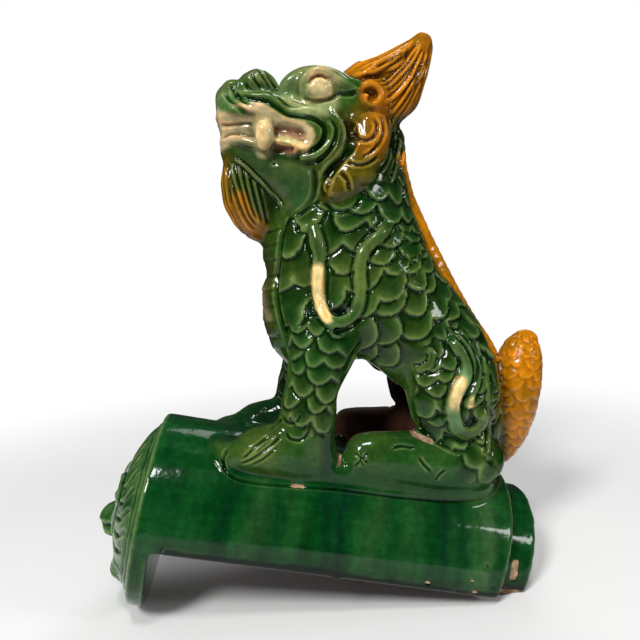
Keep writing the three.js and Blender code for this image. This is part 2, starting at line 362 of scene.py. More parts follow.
@dataclass(frozen=True)
class ScaleCoat:
    """Rows of overlapping scales laid round a limb or the trunk, from the head end down.

    axis is the limb's middle line seen from the side and offset is how far it stands from the middle plane.
    The limb's section is taken as an ellipse: girth is its half-depth and flat its width over its depth.
    Scales are width across and show pitch along the limb, and point sets how pointed their round end is. They
    cover the outline, from near off the middle plane, between the angles belly and spine. Depth scales the
    relief. The shading strength sets the darkening below each edge, glaze pooling with painted shade, and
    the paling on each rim, thin glaze with painted highlight. The seed keeps the hand's small errors the
    same each time.
    """

    name: str
    axis: Path2
    girth: float
    pitch: float
    width: float
    outline: Path2
    offset: float = 0.0
    near: float = 0.0
    belly: float = 0.0
    spine: float = 180.0
    depth: float = 1.0
    seed: int = 1
    shading_strength: float = 1.0
    point: float = 1.85
    flat: float = 0.8

    def cut(self, surface: Surface) -> tuple[np.ndarray, np.ndarray, np.ndarray]:
        """Lays the scales.

        Args:
            surface: the clay.

        Returns:
            The lift, the darkening below each covering scale's edge, glaze pooling with painted shade, and
            the paling on its rim, thin glaze with painted highlight.
        """
        count = len(surface.points)
        lift, shade, rim = np.zeros(count), np.zeros(count), np.zeros(count)
        place, _faces = surface.maps[Map.FLANK]
        within = inside_outline(place, self.outline)
        chosen = np.flatnonzero((within > -2) & (surface.across >= self.near))
        line = flow(self.axis)
        _distance, length, side = along_line(place[chosen], line)
        sideways = surface.across[chosen] - self.offset
        turn = np.arctan2(sideways / self.flat, -side)
        steps = np.linspace(0, math.pi, 181)
        arc = np.cumsum(np.hypot(np.sin(steps), self.flat * np.cos(steps))) * (steps[1] * self.girth)
        around = np.sign(turn) * np.interp(np.abs(turn), steps, arc)
        degrees = np.degrees(np.abs(np.arctan2(sideways, -side)))
        fade = smooth_step(within[chosen], -1.5, 1.5)
        fade *= smooth_step(degrees, self.belly - 4, self.belly + 2)
        fade *= 1 - smooth_step(degrees, self.spine - 2, self.spine + 4)
        hand = np.random.default_rng(self.seed)
        rows = int(length.max() / self.pitch) + 3
        columns = int(math.pi * self.girth / self.width) + 3
        shift = hand.normal(0, 1, (rows, 2 * columns + 3, 4))
        best_out, best_in = np.full(len(chosen), FAR_AWAY), np.full(len(chosen), FAR_AWAY)
        slope = np.zeros(len(chosen))
        half, round_end, tall = 0.55 * self.width, 1.12 * self.pitch, 2.4 * self.pitch
        power = self.point
        for row in range(rows - 1, -1, -1):
            tip = (row + 0.6) * self.pitch
            near = np.flatnonzero((length < tip + 4) & (length > tip - tall - 2))
            if not len(near):
                continue
            stagger = 0.5 * (row % 2)
            column = np.round(around[near] / self.width - stagger).astype(int)
            signed = np.full(len(near), -FAR_AWAY)
            rise = np.zeros(len(near))
            for step in (-1, 0, 1):
                index = np.clip(column + step + columns, 0, 2 * columns + 2)
                jitter = shift[row, index]
                middle = (column + step + stagger) * self.width + 0.11 * self.width * jitter[:, 0]
                this_tip = tip + 0.13 * self.pitch * jitter[:, 1]
                lean = 0.16 * jitter[:, 3]
                up = this_tip - length[near]
                q = around[near] - middle + lean * up
                a = half * (1 + 0.09 * jitter[:, 2])
                from_middle = np.clip(round_end - up, 0, None)
                aside, below = np.abs(q) / a + 1e-4, from_middle / round_end + 1e-4
                arch = (aside**power + below**power) ** (1 / power)
                gradient = np.hypot(aside ** (power - 1) / a,
                                    below ** (power - 1) / round_end) * arch ** (1 - power)
                rounded = (1 - arch) / gradient
                straight = a - np.abs(q)
                value = np.where(up < round_end, rounded, straight)
                value = np.where(up > tall, -FAR_AWAY, value)
                better = value > signed
                signed[better] = value[better]
                rise[better] = (up / tall)[better]
            covered = signed > 0
            mine = near[covered]
            best_in[mine] = signed[covered]
            best_out[mine] = FAR_AWAY
            slope[mine] = np.clip(1 - rise[covered], 0, 1)
            beside = near[~covered]
            best_out[beside] = np.minimum(best_out[beside], -signed[~covered])
        raise_edge = 0.5 * np.exp(-(((best_in - 0.6) / 1.1) ** 2)) + 0.6 * slope
        groove = 1.45 * np.exp(-(((best_out - 0.5) / 0.95) ** 2))
        groove = groove + 0.2 * np.exp(-(((best_out - 2) / 2.4) ** 2))
        lift[chosen] = self.depth * fade * (raise_edge - groove)
        strength = fade * self.shading_strength
        # Painted shade with glaze pooling: darker below each covering scale's edge and in each scale's
        # middle.
        dark_band = 0.85 * np.exp(-((best_out / 1.3) ** 2)) + 0.4 * np.exp(-((best_out / 5.0) ** 2))
        shade[chosen] = strength * dark_band
        shade[chosen] += 0.45 * strength * smooth_step(best_in, 2.2, 6.0)
        # Painted highlight with thin glaze: a pale band along each scale's own rim.
        edge = 1.2 * np.exp(-(((best_in - 0.7) / 0.65) ** 2)) + 0.35 * np.exp(-best_in / 2.5)
        rim[chosen] = strength * edge
        rim[chosen] *= best_out > 1.5
        return lift, shade, rim


class Clay:
    """A mesh object under work, kept in millimetres in the tile's frame."""

    def __init__(self, thing: bpy.types.Object) -> None:
        """Takes over the object."""
        self.thing = thing

    def remesh(self, voxel: float) -> None:
        """Turns everything in the mesh into one skin of even quads.

        Args:
            voxel: the size of the quads, in millimetres.
        """
        select_only(self.thing)
        modifier = self.thing.modifiers.new("skin", "REMESH")
        modifier.mode = "VOXEL"
        modifier.voxel_size = voxel
        bpy.ops.object.modifier_apply(modifier=modifier.name)

    def read(self) -> Surface:
        """The points and normals as they are now.

        Returns:
            The clay's surface with its maps.
        """
        mesh = self.thing.data
        mesh.update()
        points = np.empty(len(mesh.vertices) * 3, np.float32)
        mesh.vertices.foreach_get("co", points)
        normals = np.empty(len(mesh.vertices) * 3, np.float32)
        mesh.vertex_normals.foreach_get("vector", normals)
        return Surface(points.reshape(-1, 3).astype(float), normals.reshape(-1, 3).astype(float))

    def write(self, points: np.ndarray) -> None:
        """Moves the mesh's points."""
        self.thing.data.vertices.foreach_set("co", points.astype(np.float32).ravel())
        self.thing.data.update()

    def averaged(self, values: np.ndarray, rounds: int) -> np.ndarray:
        """Values at the points, each blended with its neighbours'.

        Args:
            values: rows of numbers, one row for each point.
            rounds: how many times they are blended.

        Returns:
            The blended rows.
        """
        mesh = self.thing.data
        ends = np.empty(len(mesh.edges) * 2, np.int32)
        mesh.edges.foreach_get("vertices", ends)
        one, other = ends.reshape(-1, 2).T
        count = len(values)
        neighbours = np.bincount(one, minlength=count) + np.bincount(other, minlength=count)
        for _ in range(rounds):
            total = np.empty_like(values)
            for k in range(values.shape[1]):
                total[:, k] = np.bincount(one, values[other, k], count)
                total[:, k] += np.bincount(other, values[one, k], count)
            values = 0.5 * values + 0.5 * total / neighbours[:, None]
        return values


def select_only(*things: bpy.types.Object) -> None:
    """Selects the objects given and nothing else, and makes the first one active.

    Args:
        things: the objects.
    """
    bpy.ops.object.select_all(action="DESELECT")
    for thing in things:
        thing.select_set(True)
    bpy.context.view_layer.objects.active = things[0]


# ---------------------------------------------------------------------------------------------------------
# Parts that are rolled or pressed on


@dataclass(frozen=True)
class Roll:
    """A roll of clay along a smooth line: each station is x, y, z and the roll's radius there."""

    name: str
    stations: tuple[tuple[float, float, float, float], ...]
    flat: float = 1.0
    paired: bool = True

    def make(self) -> list[bpy.types.Object]:
        """Rolls it, on both sides if it is paired, in the tile's frame."""
        sides = (1, -1) if self.paired else (1,)
        return [self._one(side) for side in sides]

    def _one(self, side: int) -> bpy.types.Object:
        """One roll: a curve with a round section that swells and thins, made a mesh and flattened.

        Args:
            side: 1 for the far side, -1 for the near one.

        Returns:
            The roll, in the tile's frame.
        """
        bpy.ops.object.select_all(action="DESELECT")
        bpy.ops.curve.primitive_bezier_curve_add()
        thing = bpy.context.object
        thing.name = f"{self.name}_{'l' if side < 0 else 'r'}"
        curve = thing.data
        curve.dimensions = "3D"
        curve.resolution_u = 5
        curve.bevel_depth = 1.0
        curve.bevel_resolution = 3
        curve.use_fill_caps = True
        spline = curve.splines[0]
        spline.bezier_points.add(len(self.stations) - 2)
        for point, (x, y, z, radius) in zip(spline.bezier_points, self.stations):
            point.co = (x, side * y, z)
            point.handle_left_type = point.handle_right_type = "AUTO"
            point.radius = radius
        select_only(thing)
        bpy.ops.object.convert(target="MESH")
        thing = bpy.context.object
        middle = side * sum(abs(station[1]) for station in self.stations) / len(self.stations)
        squash = Matrix.Translation((0, middle, 0)) @ Matrix.Scale(self.flat, 4, (0, 1, 0))
        thing.data.transform(squash @ Matrix.Translation((0, -middle, 0)))
        thing.data.transform(PLACE.beast_matrix().inverted())
        return thing


@dataclass(frozen=True)
class Bead:
    """A round pellet of clay pressed on: its centre and its three half-sizes."""

    name: str
    centre: tuple[float, float, float]
    size: tuple[float, float, float]
    paired: bool = True

    def make(self) -> list[bpy.types.Object]:
        """Presses it on, on both sides if it is paired, in the tile's frame.

        Returns:
            The new pellets.
        """
        made = []
        for side in (1, -1) if self.paired else (1,):
            bpy.ops.object.select_all(action="DESELECT")
            x, y, z = self.centre
            bpy.ops.mesh.primitive_uv_sphere_add(segments=24, ring_count=16, radius=1,
                                                 location=(x, side * y, z))
            thing = bpy.context.object
            thing.name = self.name
            thing.scale = self.size
            bpy.ops.object.transform_apply(location=True, rotation=True, scale=True)
            thing.data.transform(PLACE.beast_matrix().inverted())
            made.append(thing)
        return made


@dataclass(frozen=True)
class Head:
    """The head: what is pressed on it and what is cut into it."""

    rolls: tuple[Roll, ...] = (
        Roll("nostril", ((92, 9, 350, 4), (97, 9, 354, 7.5), (103, 9.5, 355.5, 8), (109, 10, 352, 6.5),
                         (116, 11, 345, 3))),
        Roll("snout_curl", ((79, 7, 340, 3), (80, 9, 347, 5), (84, 9, 352.5, 5), (89, 9, 352, 4),
                            (92, 9, 347, 2))),
        Roll("upper_lip", ((75, 6, 332, 4), (78, 15, 334, 4.5), (86, 22.5, 335.5, 4.8), (97, 27, 334, 5),
                           (106, 28.5, 332.5, 4.6), (113, 29.5, 329, 4), (121, 31, 325, 3.6),
                           (129, 32, 322.5, 3.4), (135.5, 32.5, 318, 3), (135.5, 32.5, 312.5, 2.6),
                           (130.5, 32, 308.5, 2.2), (122, 31, 308.5, 2), (113, 29.5, 311, 1.8),
                           (107, 28, 313, 1.4))),
        Roll("lip_fold", ((86, 21, 346, 1.5), (96, 25, 342, 3.2), (106, 27.5, 340.5, 3.8),
                          (115, 29, 336, 3.8), (123, 30, 330, 3.8), (133, 31, 329, 4), (142, 31.5, 326, 4),
                          (147.5, 32, 319, 4), (147, 32, 311, 4), (142, 31.5, 304.5, 4),
                          (134, 30, 301, 3.4), (125, 29, 300, 2))),
        Roll("cheek_fold", ((146, 30, 331, 2), (151, 32, 326, 3.6), (153.5, 33, 318, 4),
                            (152.5, 33.5, 309, 4), (148, 33, 301, 4), (141, 31.5, 293, 3.6),
                            (136, 31, 286, 2))),
        Roll("lower_lip", ((75, 7, 317, 3.2), (80, 15, 316.8, 3.6), (88, 20, 315, 3.6), (97, 24, 311.5, 3.2),
                           (106, 26.5, 308.5, 2.6))),
        Roll("fang", ((103.5, 29.5, 324, 4.4), (103.5, 31, 319, 6.4), (103, 31, 313, 6.2),
                      (102, 29.8, 309, 4.6), (101.5, 28.5, 307, 2.4)), flat=0.8),
        Roll("upper_lid", ((129, 27, 338, 1), (129.5, 28.5, 345.5, 2.2), (134, 29.5, 352, 3),
                           (142, 29.5, 354.5, 3.4), (150.5, 30, 351.5, 3.2), (158, 31.5, 345.5, 2.8),
                           (165.5, 32, 341, 1.3))),
        Roll("brow", ((116, 16, 342, 2.5), (120, 19, 348, 5), (127, 20, 352.5, 6), (137, 19.5, 355, 6.2),
                      (147, 20, 354.5, 6), (156, 25, 350, 4.6), (163, 29, 346, 3),
                      (168, 30.5, 346.5, 1.4))),
        Roll("ear", ((169, 32, 322, 6), (171, 34.5, 317.5, 12), (172, 36.5, 310, 12.4), (169, 38, 301, 11),
                     (163, 38.5, 293.5, 10), (156, 38, 286, 9), (149.5, 37, 280, 7.5),
                     (147, 35, 275, 4)), flat=0.62),
        Roll("nape", ((201, 0, 338, 5), (196.5, 0, 328, 5.2), (194.5, 0, 320, 5.2), (195, 0, 311, 5),
                      (197.5, 0, 302, 4.6),
                      (200, 0, 290, 4.2)), paired=False),
        Roll("mane_curl", ((165.5, 28.5, 335, 1.8), (167, 29.5, 341, 2.3), (172, 30, 344.5, 2.5),
                           (178, 29.5, 343.5, 2.5), (181.5, 29, 338.5, 2.5), (178.5, 29, 333, 2.5),
                           (173, 29, 331.5, 2.3), (170, 29.5, 335.5, 1.9),
                           (172.5, 30, 338.5, 1.6))),
        Roll("mane_lock", ((165, 20, 351, 3), (176, 22, 354, 5.5), (187, 20, 358, 6), (196, 16.5, 364, 5.2),
                           (204, 12, 371, 3.5))),
    )
    beads: tuple[Bead, ...] = (
        Bead("eyeball", (140.5, 27, 343.5), (8.8, 6.6, 8.4)),
        Bead("ear_middle", (163, 38, 286), (10.5, 6.5, 7.5)),
        Bead("ear_tip", (146, 36.5, 279), (8, 6, 8.5)),
        Bead("mane_tip", (219, 0, 379), (7.5, 6.5, 8), paired=False),
    )
    cuts: tuple[Cut, ...] = (
        Cut(((88, 342.5), (96, 339), (105, 336.5), (112, 332), (119, 326.8), (128, 325), (136, 323),
             (141.5, 318), (141.5, 312.5), (138.5, 307.5), (133, 304),
             (124, 302.5)), 1.3, -2.0, near=14),
        Cut(((80, 349), (81, 344), (85, 337.5), (91, 331.5), (97, 327.5)), 1.2, -1.5, near=10, end=0.3),
        Cut(((84, 353), (86, 347), (89, 341), (93, 336), (99, 333)), 1.1, -1.3, near=8, end=0.3),
        Cut(((88, 349), (92, 346.5), (99, 344), (107, 343), (114, 338.5), (120, 333), (130, 332)), 1.2, -1.6,
            near=12),
        Cut(((93, 354), (96, 349), (102, 345.5), (110, 345.5)), 1.1, -1.3, near=6),
        Cut(((98, 360), (100, 354), (104, 348.5)), 0.9, -1.0, near=4),
        Cut(((103, 361), (106, 355), (110, 348.5)), 0.9, -1.0, near=4),
        Cut(((108, 358), (112, 352), (115, 346.5)), 0.9, -0.9, near=4),
        Cut(((74, 326.5), (80, 325.3), (88, 325), (96, 324)), 1.0, -1.4, near=2, end=0.05),
        Cut(((74, 318), (82, 320), (89, 318.5), (96, 316)), 0.9, -1.2, near=2, end=0.05),
        Cut(((110, 319.5), (117, 318.5), (124, 316.5), (130, 314.5)), 2.6, -2.2, near=18, start=0.12,
            end=0.2),
        Cut(((108, 308.5), (114, 306.5), (122, 304.8)), 1.5, -2.6, near=18),
        Cut(((143.5, 325), (148.3, 319), (148.8, 313), (146, 306), (140.5, 300), (133.5, 296)), 1.2, -1.7,
            near=16),
        Cut(((149, 331), (155, 322), (157.2, 314), (155, 304), (149, 296.5), (142, 289.5), (138, 281)), 1.6,
            -2.4, near=20),
        Cut(((129.5, 339), (135, 335.5), (142, 335), (149, 337), (154, 340.5)), 1.2, -1.8, near=14),
        Cut(((133, 345), (137, 349.6), (142.5, 350.6), (148.5, 347.5)), 0.9, -1.4, near=16),
        Cut(((152, 340), (158, 338.5), (165, 339)), 1.3, -1.5, near=16),
        Cut(((156.5, 326), (159.5, 314), (158.5, 304), (152, 297), (144.5, 289), (139.5, 280), (138, 271)),
            1.7, -2.8, near=20),
        Cut(((172, 321), (174.5, 314.5), (170.5, 307.5), (163.5, 307), (160.5, 312), (161.5, 317.5)), 1.2,
            -1.9, near=30),
        Cut(((178.5, 321), (178.5, 311), (174, 302.5), (167, 298)), 1.0, -1.3, near=30),
        Cut(((174.5, 305.5), (170, 299.5), (163, 296)), 0.9, -1.0, near=34),
        Cut(((153, 294.5), (160, 291.5), (168, 292.5), (175, 297.5)), 1.0, -1.5, near=30),
        Cut(((149, 288.5), (153, 282.5), (154.5, 275)), 1.3, -1.9, near=28),
        Cut(((107, 298.2), (108.6, 297.9)), 0.8, -1.6, near=20, start=0.01, end=0.01),
        Cut(((80, 305), (88, 299), (95, 291.5), (100, 286), (105, 280), (109, 275), (112, 268)), 1.5, 1.3,
            near=8, border=1.5),
        Cut(((133, 296), (133.5, 285), (131, 274), (125, 267), (117, 262)), 1.5, -1.5, near=14),
        Cut(((121, 340), (127, 336), (131, 333.5), (140, 332)), 1.4, -0.8, near=18),
    )
    mane: tuple[Cut, ...] = (
        Cut(((166, 349), (171, 350), (179, 350.5), (189, 356), (200, 363.5), (214, 378)), 1.5, -2.2, near=4,
            end=0.06),
        Cut(((183, 342), (190, 346), (197, 352), (206, 361), (216, 375)), 1.5, 1.2, near=3, border=1.1),
        Cut(((183, 332), (190, 337), (197, 342.5), (207, 354), (217, 371)), 1.6, 1.3, near=3, border=1.1),
        Cut(((186, 325), (194, 332), (203, 342.5), (213, 358), (221, 372)), 1.5, 1.2, near=3, border=1.1),
        Cut(((189, 318), (194, 327), (201, 335.5), (210, 349), (219, 364)), 1.4, 1.1, near=3, border=1.0),
        Cut(((196, 322), (203, 332), (212, 348)), 1.3, 0.9, near=2, border=0.9),
        Cut(((178, 345), (186, 346.5), (195, 354), (204, 363), (214, 376)), 1.2, 0.9, near=4, border=0.9),
        Cut(((174, 353.5), (182, 359.5), (191, 364), (199, 367.5), (201.5, 363.5), (194, 357.5), (184, 353)),
            1.3, 1.1, near=6, border=1.0),
        Cut(((179, 356), (186, 358.5), (194, 362.5)), 1.1, -1.2, near=6),
        Cut(((162, 357.5), (171, 361), (184, 366), (197, 372), (209, 380)), 1.2, -1.2, near=3),
        Cut(((3.5, 336), (4.5, 350), (4, 366), (1.5, 382)), 1.3, -1.4, Map.BACK, near=-1),
        Cut(((9, 338), (10.5, 352), (8.5, 366), (4, 380)), 1.3, -1.4, Map.BACK, near=-1),
        Cut(((15, 343), (15.5, 353), (12, 365)), 1.2, -1.2, Map.BACK, near=-1),
        Cut(((168, 354), (174, 357.5), (181, 361.5), (190, 366)), 1.0, -1.1, near=4),
        Cut(((188, 327), (189, 317), (187, 306), (178, 291)), 1.5, 1.1, near=6, border=1.2),
        Cut(((194, 326), (196, 316), (188, 300), (177, 285)), 1.5, 1.1, near=5, border=1.2),
        Cut(((199, 322), (198, 307), (190.5, 291), (184, 279)), 1.5, 1.1, near=4, border=1.2),
        Cut(((202, 312), (200, 299), (195, 287)), 1.3, 0.9, near=4, border=1.1),
    )
    beard: tuple[Cut, ...] = (
        Cut(((77, 306), (78, 294), (81, 280), (84, 270), (88, 261), (95, 254)), 1.1, -1.5, near=3),
        Cut(((82, 304), (83, 292), (86, 278), (89, 266), (95, 257)), 1.1, -1.6, near=5),
        Cut(((87, 300), (88, 286), (90.5, 273), (94, 262)), 1.1, -1.6, near=6),
        Cut(((91, 294), (93, 281), (95, 270), (98, 260)), 1.1, -1.4, near=6),
        Cut(((96, 289), (98, 278), (100, 267), (101, 258)), 1.0, -1.1, near=6),
        Cut(((3, 300), (3.5, 284), (3, 268), (2, 256)), 1.1, -1.3, Map.CHEST, near=-1),
        Cut(((9, 303), (10.5, 286), (9, 268), (5, 256)), 1.1, -1.4, Map.CHEST, near=-1),
        Cut(((15, 302), (16, 288), (14, 272)), 1.1, -1.3, Map.CHEST, near=-1),
    )


@dataclass(frozen=True)
class Body:
    """Trunk, legs, haunches and tail: ribbons, folds, scutes, marks and scales."""

    ribbons: tuple[Cut, ...] = (
        Cut(((127, 260), (130, 252), (132, 242), (132, 231), (131, 220), (130, 210), (131.5, 200),
             (137, 193), (146, 193), (153.5, 199), (157, 211), (157.5, 224), (161, 236), (169, 243.5),
             (177.5, 250.5), (182, 258)),
            4.4, 2.8, near=18, border=1.5, start=0.1, end=0.08),
        Cut(((213, 178), (220.5, 170), (225, 159), (223, 149), (215.5, 139), (212.5, 128), (215, 116),
             (222, 109.5), (230, 111.5), (234.5, 119),
             (231, 126)), 4.9, 2.8, near=20, border=1.4, start=0.1, end=0.05),
        Cut(((221, 180), (227.5, 169), (231.5, 156), (230, 145), (225, 136), (224.5, 129)), 3.0, 2.4,
            near=20, border=1.2, start=0.1),
        Cut(((190, 155), (196, 156), (201, 160), (202.5, 166.5), (198, 170)), 2.6, 1.5, near=20, border=0.9),
        Cut(((233, 168), (238, 156), (239, 142), (238.5, 128), (242, 112), (240, 98), (234, 88)), 2.0, 0.7,
            near=20, border=1.1),
    )
    folds: tuple[Cut, ...] = (
        Cut(((113, 264), (110, 252), (107.5, 239), (105, 226), (103, 214), (103.5, 203), (106, 189),
             (111, 176)), 1.3, -2.0, near=9, far=36),
        Cut(((158, 181), (152, 173), (147, 167), (142, 158)), 1.4, -1.8, near=24),
        Cut(((187, 158), (189.5, 146), (187.5, 132), (191, 117), (200, 108), (211, 101), (223, 95)), 1.6,
            -1.8, near=24),
        Cut(((108, 184), (109, 174), (107.5, 164), (102.5, 152), (96, 140)), 0.9, -0.8, near=24),
        Cut(((137, 272), (143, 265), (150, 263), (158, 266), (163, 273)), 1.4, -1.6, near=22),
        Cut(((120, 262), (129, 268), (136, 272)), 1.2, -1.2, near=20),
    )
    spine: Path2 = ((200, 318), (201, 300), (205, 275), (222, 232), (243, 188), (263, 151), (268, 132))
    spine_pitch: float = 6.4
    scutes: tuple[float, ...] = (254, 244, 233.5, 223.5, 213, 202, 191.5, 181, 171)
    marks: tuple[Cut, ...] = (
        Cut(((146, 104), (150, 100.5), (154, 97)), 0.7, -1.1, near=24),
        Cut(((155, 104.5), (150, 100), (145, 95)), 0.7, -1.1, near=24),
        Cut(((150, 105), (149.5, 99), (151, 95)), 0.6, -0.8, near=24),
        Cut(((170, 105), (178, 105.5), (187, 103)), 0.8, -1.2, near=24),
        Cut(((188, 98), (191, 93), (196, 87)), 0.9, -1.4, near=24),
        Cut(((206, 88), (202, 85), (198, 80)), 0.8, -1.2, near=24),
        Cut(((72, 109), (77, 113.5), (83, 118), (91, 122)), 0.8, -1.1, near=24),
        Cut(((69, 105), (78, 109), (87, 114), (99, 122)), 0.8, -1.2, near=24),
        Cut(((76, 104), (86, 109), (96, 116)), 0.7, -0.9, near=24),
        Cut(((91, 125), (96, 128), (100, 131)), 0.8, -1.0, near=24),
        Cut(((101, 124), (104, 119), (111, 118), (116, 123), (117.5, 130)), 0.9, -1.2, near=24),
        Cut(((99, 134), (103, 129), (109, 130), (112, 136)), 0.9, -1.1, near=24),
        Cut(((60, 100), (59, 108), (63, 115)), 1.0, -1.0, near=24),
    )
    coats: tuple[ScaleCoat, ...] = (
        ScaleCoat("trunk", ((172, 304), (166, 280), (160, 245), (166, 211), (192, 180), (218, 150),
                            (228, 106)), 46, 12.4, 17.0,
                  ((113, 263), (121, 262), (133, 270), (138, 266), (147, 262), (156, 266), (163, 276),
                   (174, 282), (184, 280), (193, 286), (204, 294), (206, 276), (221, 232), (240, 190),
                   (262, 152), (262, 90), (246, 74), (242, 100), (244, 140), (236, 166), (222, 184),
                   (205, 176), (190, 160), (178, 156), (164, 158), (155, 168), (148, 180), (124, 192),
                   (108, 190), (104, 204), (105, 224), (109, 246)), belly=8, spine=168, seed=7,
                  flat=0.62),
        ScaleCoat("front_leg", ((134, 200), (130, 182), (122, 152), (115, 126), (112, 112)), 17, 10.2, 13.2,
                  ((106, 192), (124, 194), (140, 188), (148, 178), (142, 164), (138, 150), (134, 136),
                   (131, 122), (124, 116), (108, 126), (100, 138), (106, 152),
                   (109, 168)), offset=32, near=12, seed=3, depth=0.85),
        ScaleCoat("haunch", ((206, 190), (216, 160), (218, 128), (222, 96)), 22, 9.8, 12.6,
                  ((192, 166), (206, 180), (222, 184), (238, 164), (246, 138), (248, 104), (240, 84),
                   (226, 92), (210, 101), (198, 108), (191, 120),
                   (190, 140)), offset=28, near=20, seed=5, depth=0.8, point=1.8),
        ScaleCoat("heel", ((236, 104), (232, 92), (222, 84)), 18, 9.0, 11.0,
                  ((214, 96), (226, 96), (240, 90), (246, 80), (238, 72), (222, 76), (214, 84)), offset=26,
                  near=20, seed=9, depth=0.45, point=2.0),
        ScaleCoat("tail", ((286, 176), (280, 147), (275, 120), (268, 92), (262, 66)), 17, 7.4, 9.6,
                  ((262, 152), (276, 166), (292, 172), (304, 164), (302, 130), (296, 104), (284, 78),
                   (268, 66), (258, 80),
                   (256, 120)), seed=11, depth=0.4, shading_strength=0.25, point=1.9),
    )
    rolls: tuple[Roll, ...] = (
        Roll("spine", ((198, 0, 312, 2.4), (199.5, 0, 300, 3.4), (203.5, 0, 275, 4), (220.5, 0, 232, 4.6),
                       (241.5, 0, 188, 4.8), (262, 0, 151, 4.8),
                       (266, 0, 132, 3)), paired=False),
        Roll("tail_edge", ((271, 0, 77, 3), (282, 0, 93, 4.4), (288.5, 0, 112, 4.8), (292.3, 0, 138, 4.6),
                           (293.6, 0, 156, 4.5), (291.2, 0, 165, 4.4),
                           (282, 0, 166, 3.8)), paired=False),
    )


@dataclass(frozen=True)
class Tile:
    """The tile's own marks: the end disc's rings and mask, the ledge below the beast, chips and a drip."""

    ring_radius: float = 61.5
    bead_radius: float = 57.5
    strands: int = 11
    ledge: Path2 = ((44, 36), (45.5, 43), (49, 48.5), (55, 52.5), (64, 54), (80, 53.5), (100, 52), (126, 50),
                    (160, 49.5), (184, 48.5), (200, 47.5), (214, 45.5), (225, 42), (236, 34), (246, 20),
                    (250, 0))
    chips: tuple[tuple[float, float, float, float], ...] = (
        (166, 102.5, 1.2, -0.9), (191, 101, 1.6, -1.0), (201, 103, 1.3, -0.9), (224, 103, 2.2, -1.3),
                                                            (221, 96, 1.4, -0.9),
        (230, 85, 1.3, -0.8), (212, 104, 1.8, -1.2), (236, 99, 1.6, -1.0), (244, 107, 2.2, -1.6),
        (252, 105, 2.0, -1.2), (259, 107, 2.4, -1.5), (248, 101, 1.3, -0.7), (95, 51.5, 1.6, -1.2),
                                                            (101, 51, 1.2, -0.9))

    @property
    def lines(self) -> tuple[Cut, ...]:
        """The lines cut into the tile and its disc.

        Returns:
            The rings, the mane round the mask, the mask's folds and the ledge.
        """
        mane = []
        for index in range(self.strands):
            turn = math.radians(80 - 150 * index / (self.strands - 1))
            bend = turn + 0.26 * math.cos(turn)
            start, middle, end = (33, turn), (43, turn + 0.05), (54, bend)
            line = tuple((radius * math.cos(at), radius * math.sin(at)) for radius,
                         at in (start, middle, end))
            mane.append(Cut(line, 1.3, -1.7, Map.DISC, near=-1))
        ring = self.circle(self.ring_radius)
        bead = self.circle(self.bead_radius)
        return (
            Cut(ring, 1.1, -1.4, Map.DISC, near=-1, start=0.001, end=0.001),
            Cut(bead, 1.5, 1.1, Map.DISC, near=-1, start=0.001, end=0.001, border=0.5),
            *mane,
            Cut(((3, 15), (9, 21), (17, 22), (25, 15), (28, 8)), 2.8, 2.2, Map.DISC, near=-1, border=0.6),
            Cut(((8, 9), (13, 14.5), (19, 10), (14, 5), (8, 9)), 0.9, -1.3, Map.DISC, near=-1, start=0.01,
                end=0.01),
            Cut(((0, -17), (9, -16.5), (17, -13), (22, -19)), 1.8, -2.4, Map.DISC, near=-1),
            Cut(((4, -25), (5, -35), (7, -45)), 1.2, -1.5, Map.DISC, near=-1),
            Cut(((11, -24), (14, -33), (18, -42)), 1.2, -1.5, Map.DISC, near=-1),
            Cut(((30, 12), (31, 0), (27, -12), (18, -24)), 1.4, -1.6, Map.DISC, near=-1),
            Cut(self.ledge, 1.0, -0.8, Map.BARREL, near=-1, start=0.001, end=0.001),
            Cut(((19, 105), (19.5, 102), (21, 99.5)), 0.8, -0.8, Map.BARREL, near=-1),
        )

    def circle(self, radius: float) -> Path2:
        """Half a circle on the disc's map, which stands for both halves."""
        return tuple((radius * math.sin(turn), radius * math.cos(turn)) for turn in np.linspace(0, math.pi,
                                                                                                25))

    def dabs(self) -> tuple[Dab, ...]:
        """Eyes, cheeks and teeth of the mask, chips, and the drip that hangs at the lower edge.

        Returns:
            The dents and bumps.
        """
        mask = (Dab((13.5, 9.5), 3.6, 1.8, Map.DISC, -1), Dab((20, -5), 7, 1.7, Map.DISC, -1),
                Dab((10, -20), 2.6, 1.5, Map.DISC, -1))
        chips = tuple(Dab((x, arc), radius, depth, Map.BARREL, -1) for x, arc, radius, depth in self.chips)
        return (*mask, *chips, Dab((131, 105.5), 2.6, 1.3, Map.BARREL, -1))


def press(surface: Surface, works: tuple[Cut | Dab, ...]) -> np.ndarray:
    """The lift of many cuts together.

    Args:
        surface: the clay.
        works: the lines and dents.

    Returns:
        The lift at each point, in millimetres.
    """
    total = np.zeros(len(surface.points))
    for work in works:
        total += work.lift(surface)
    return total


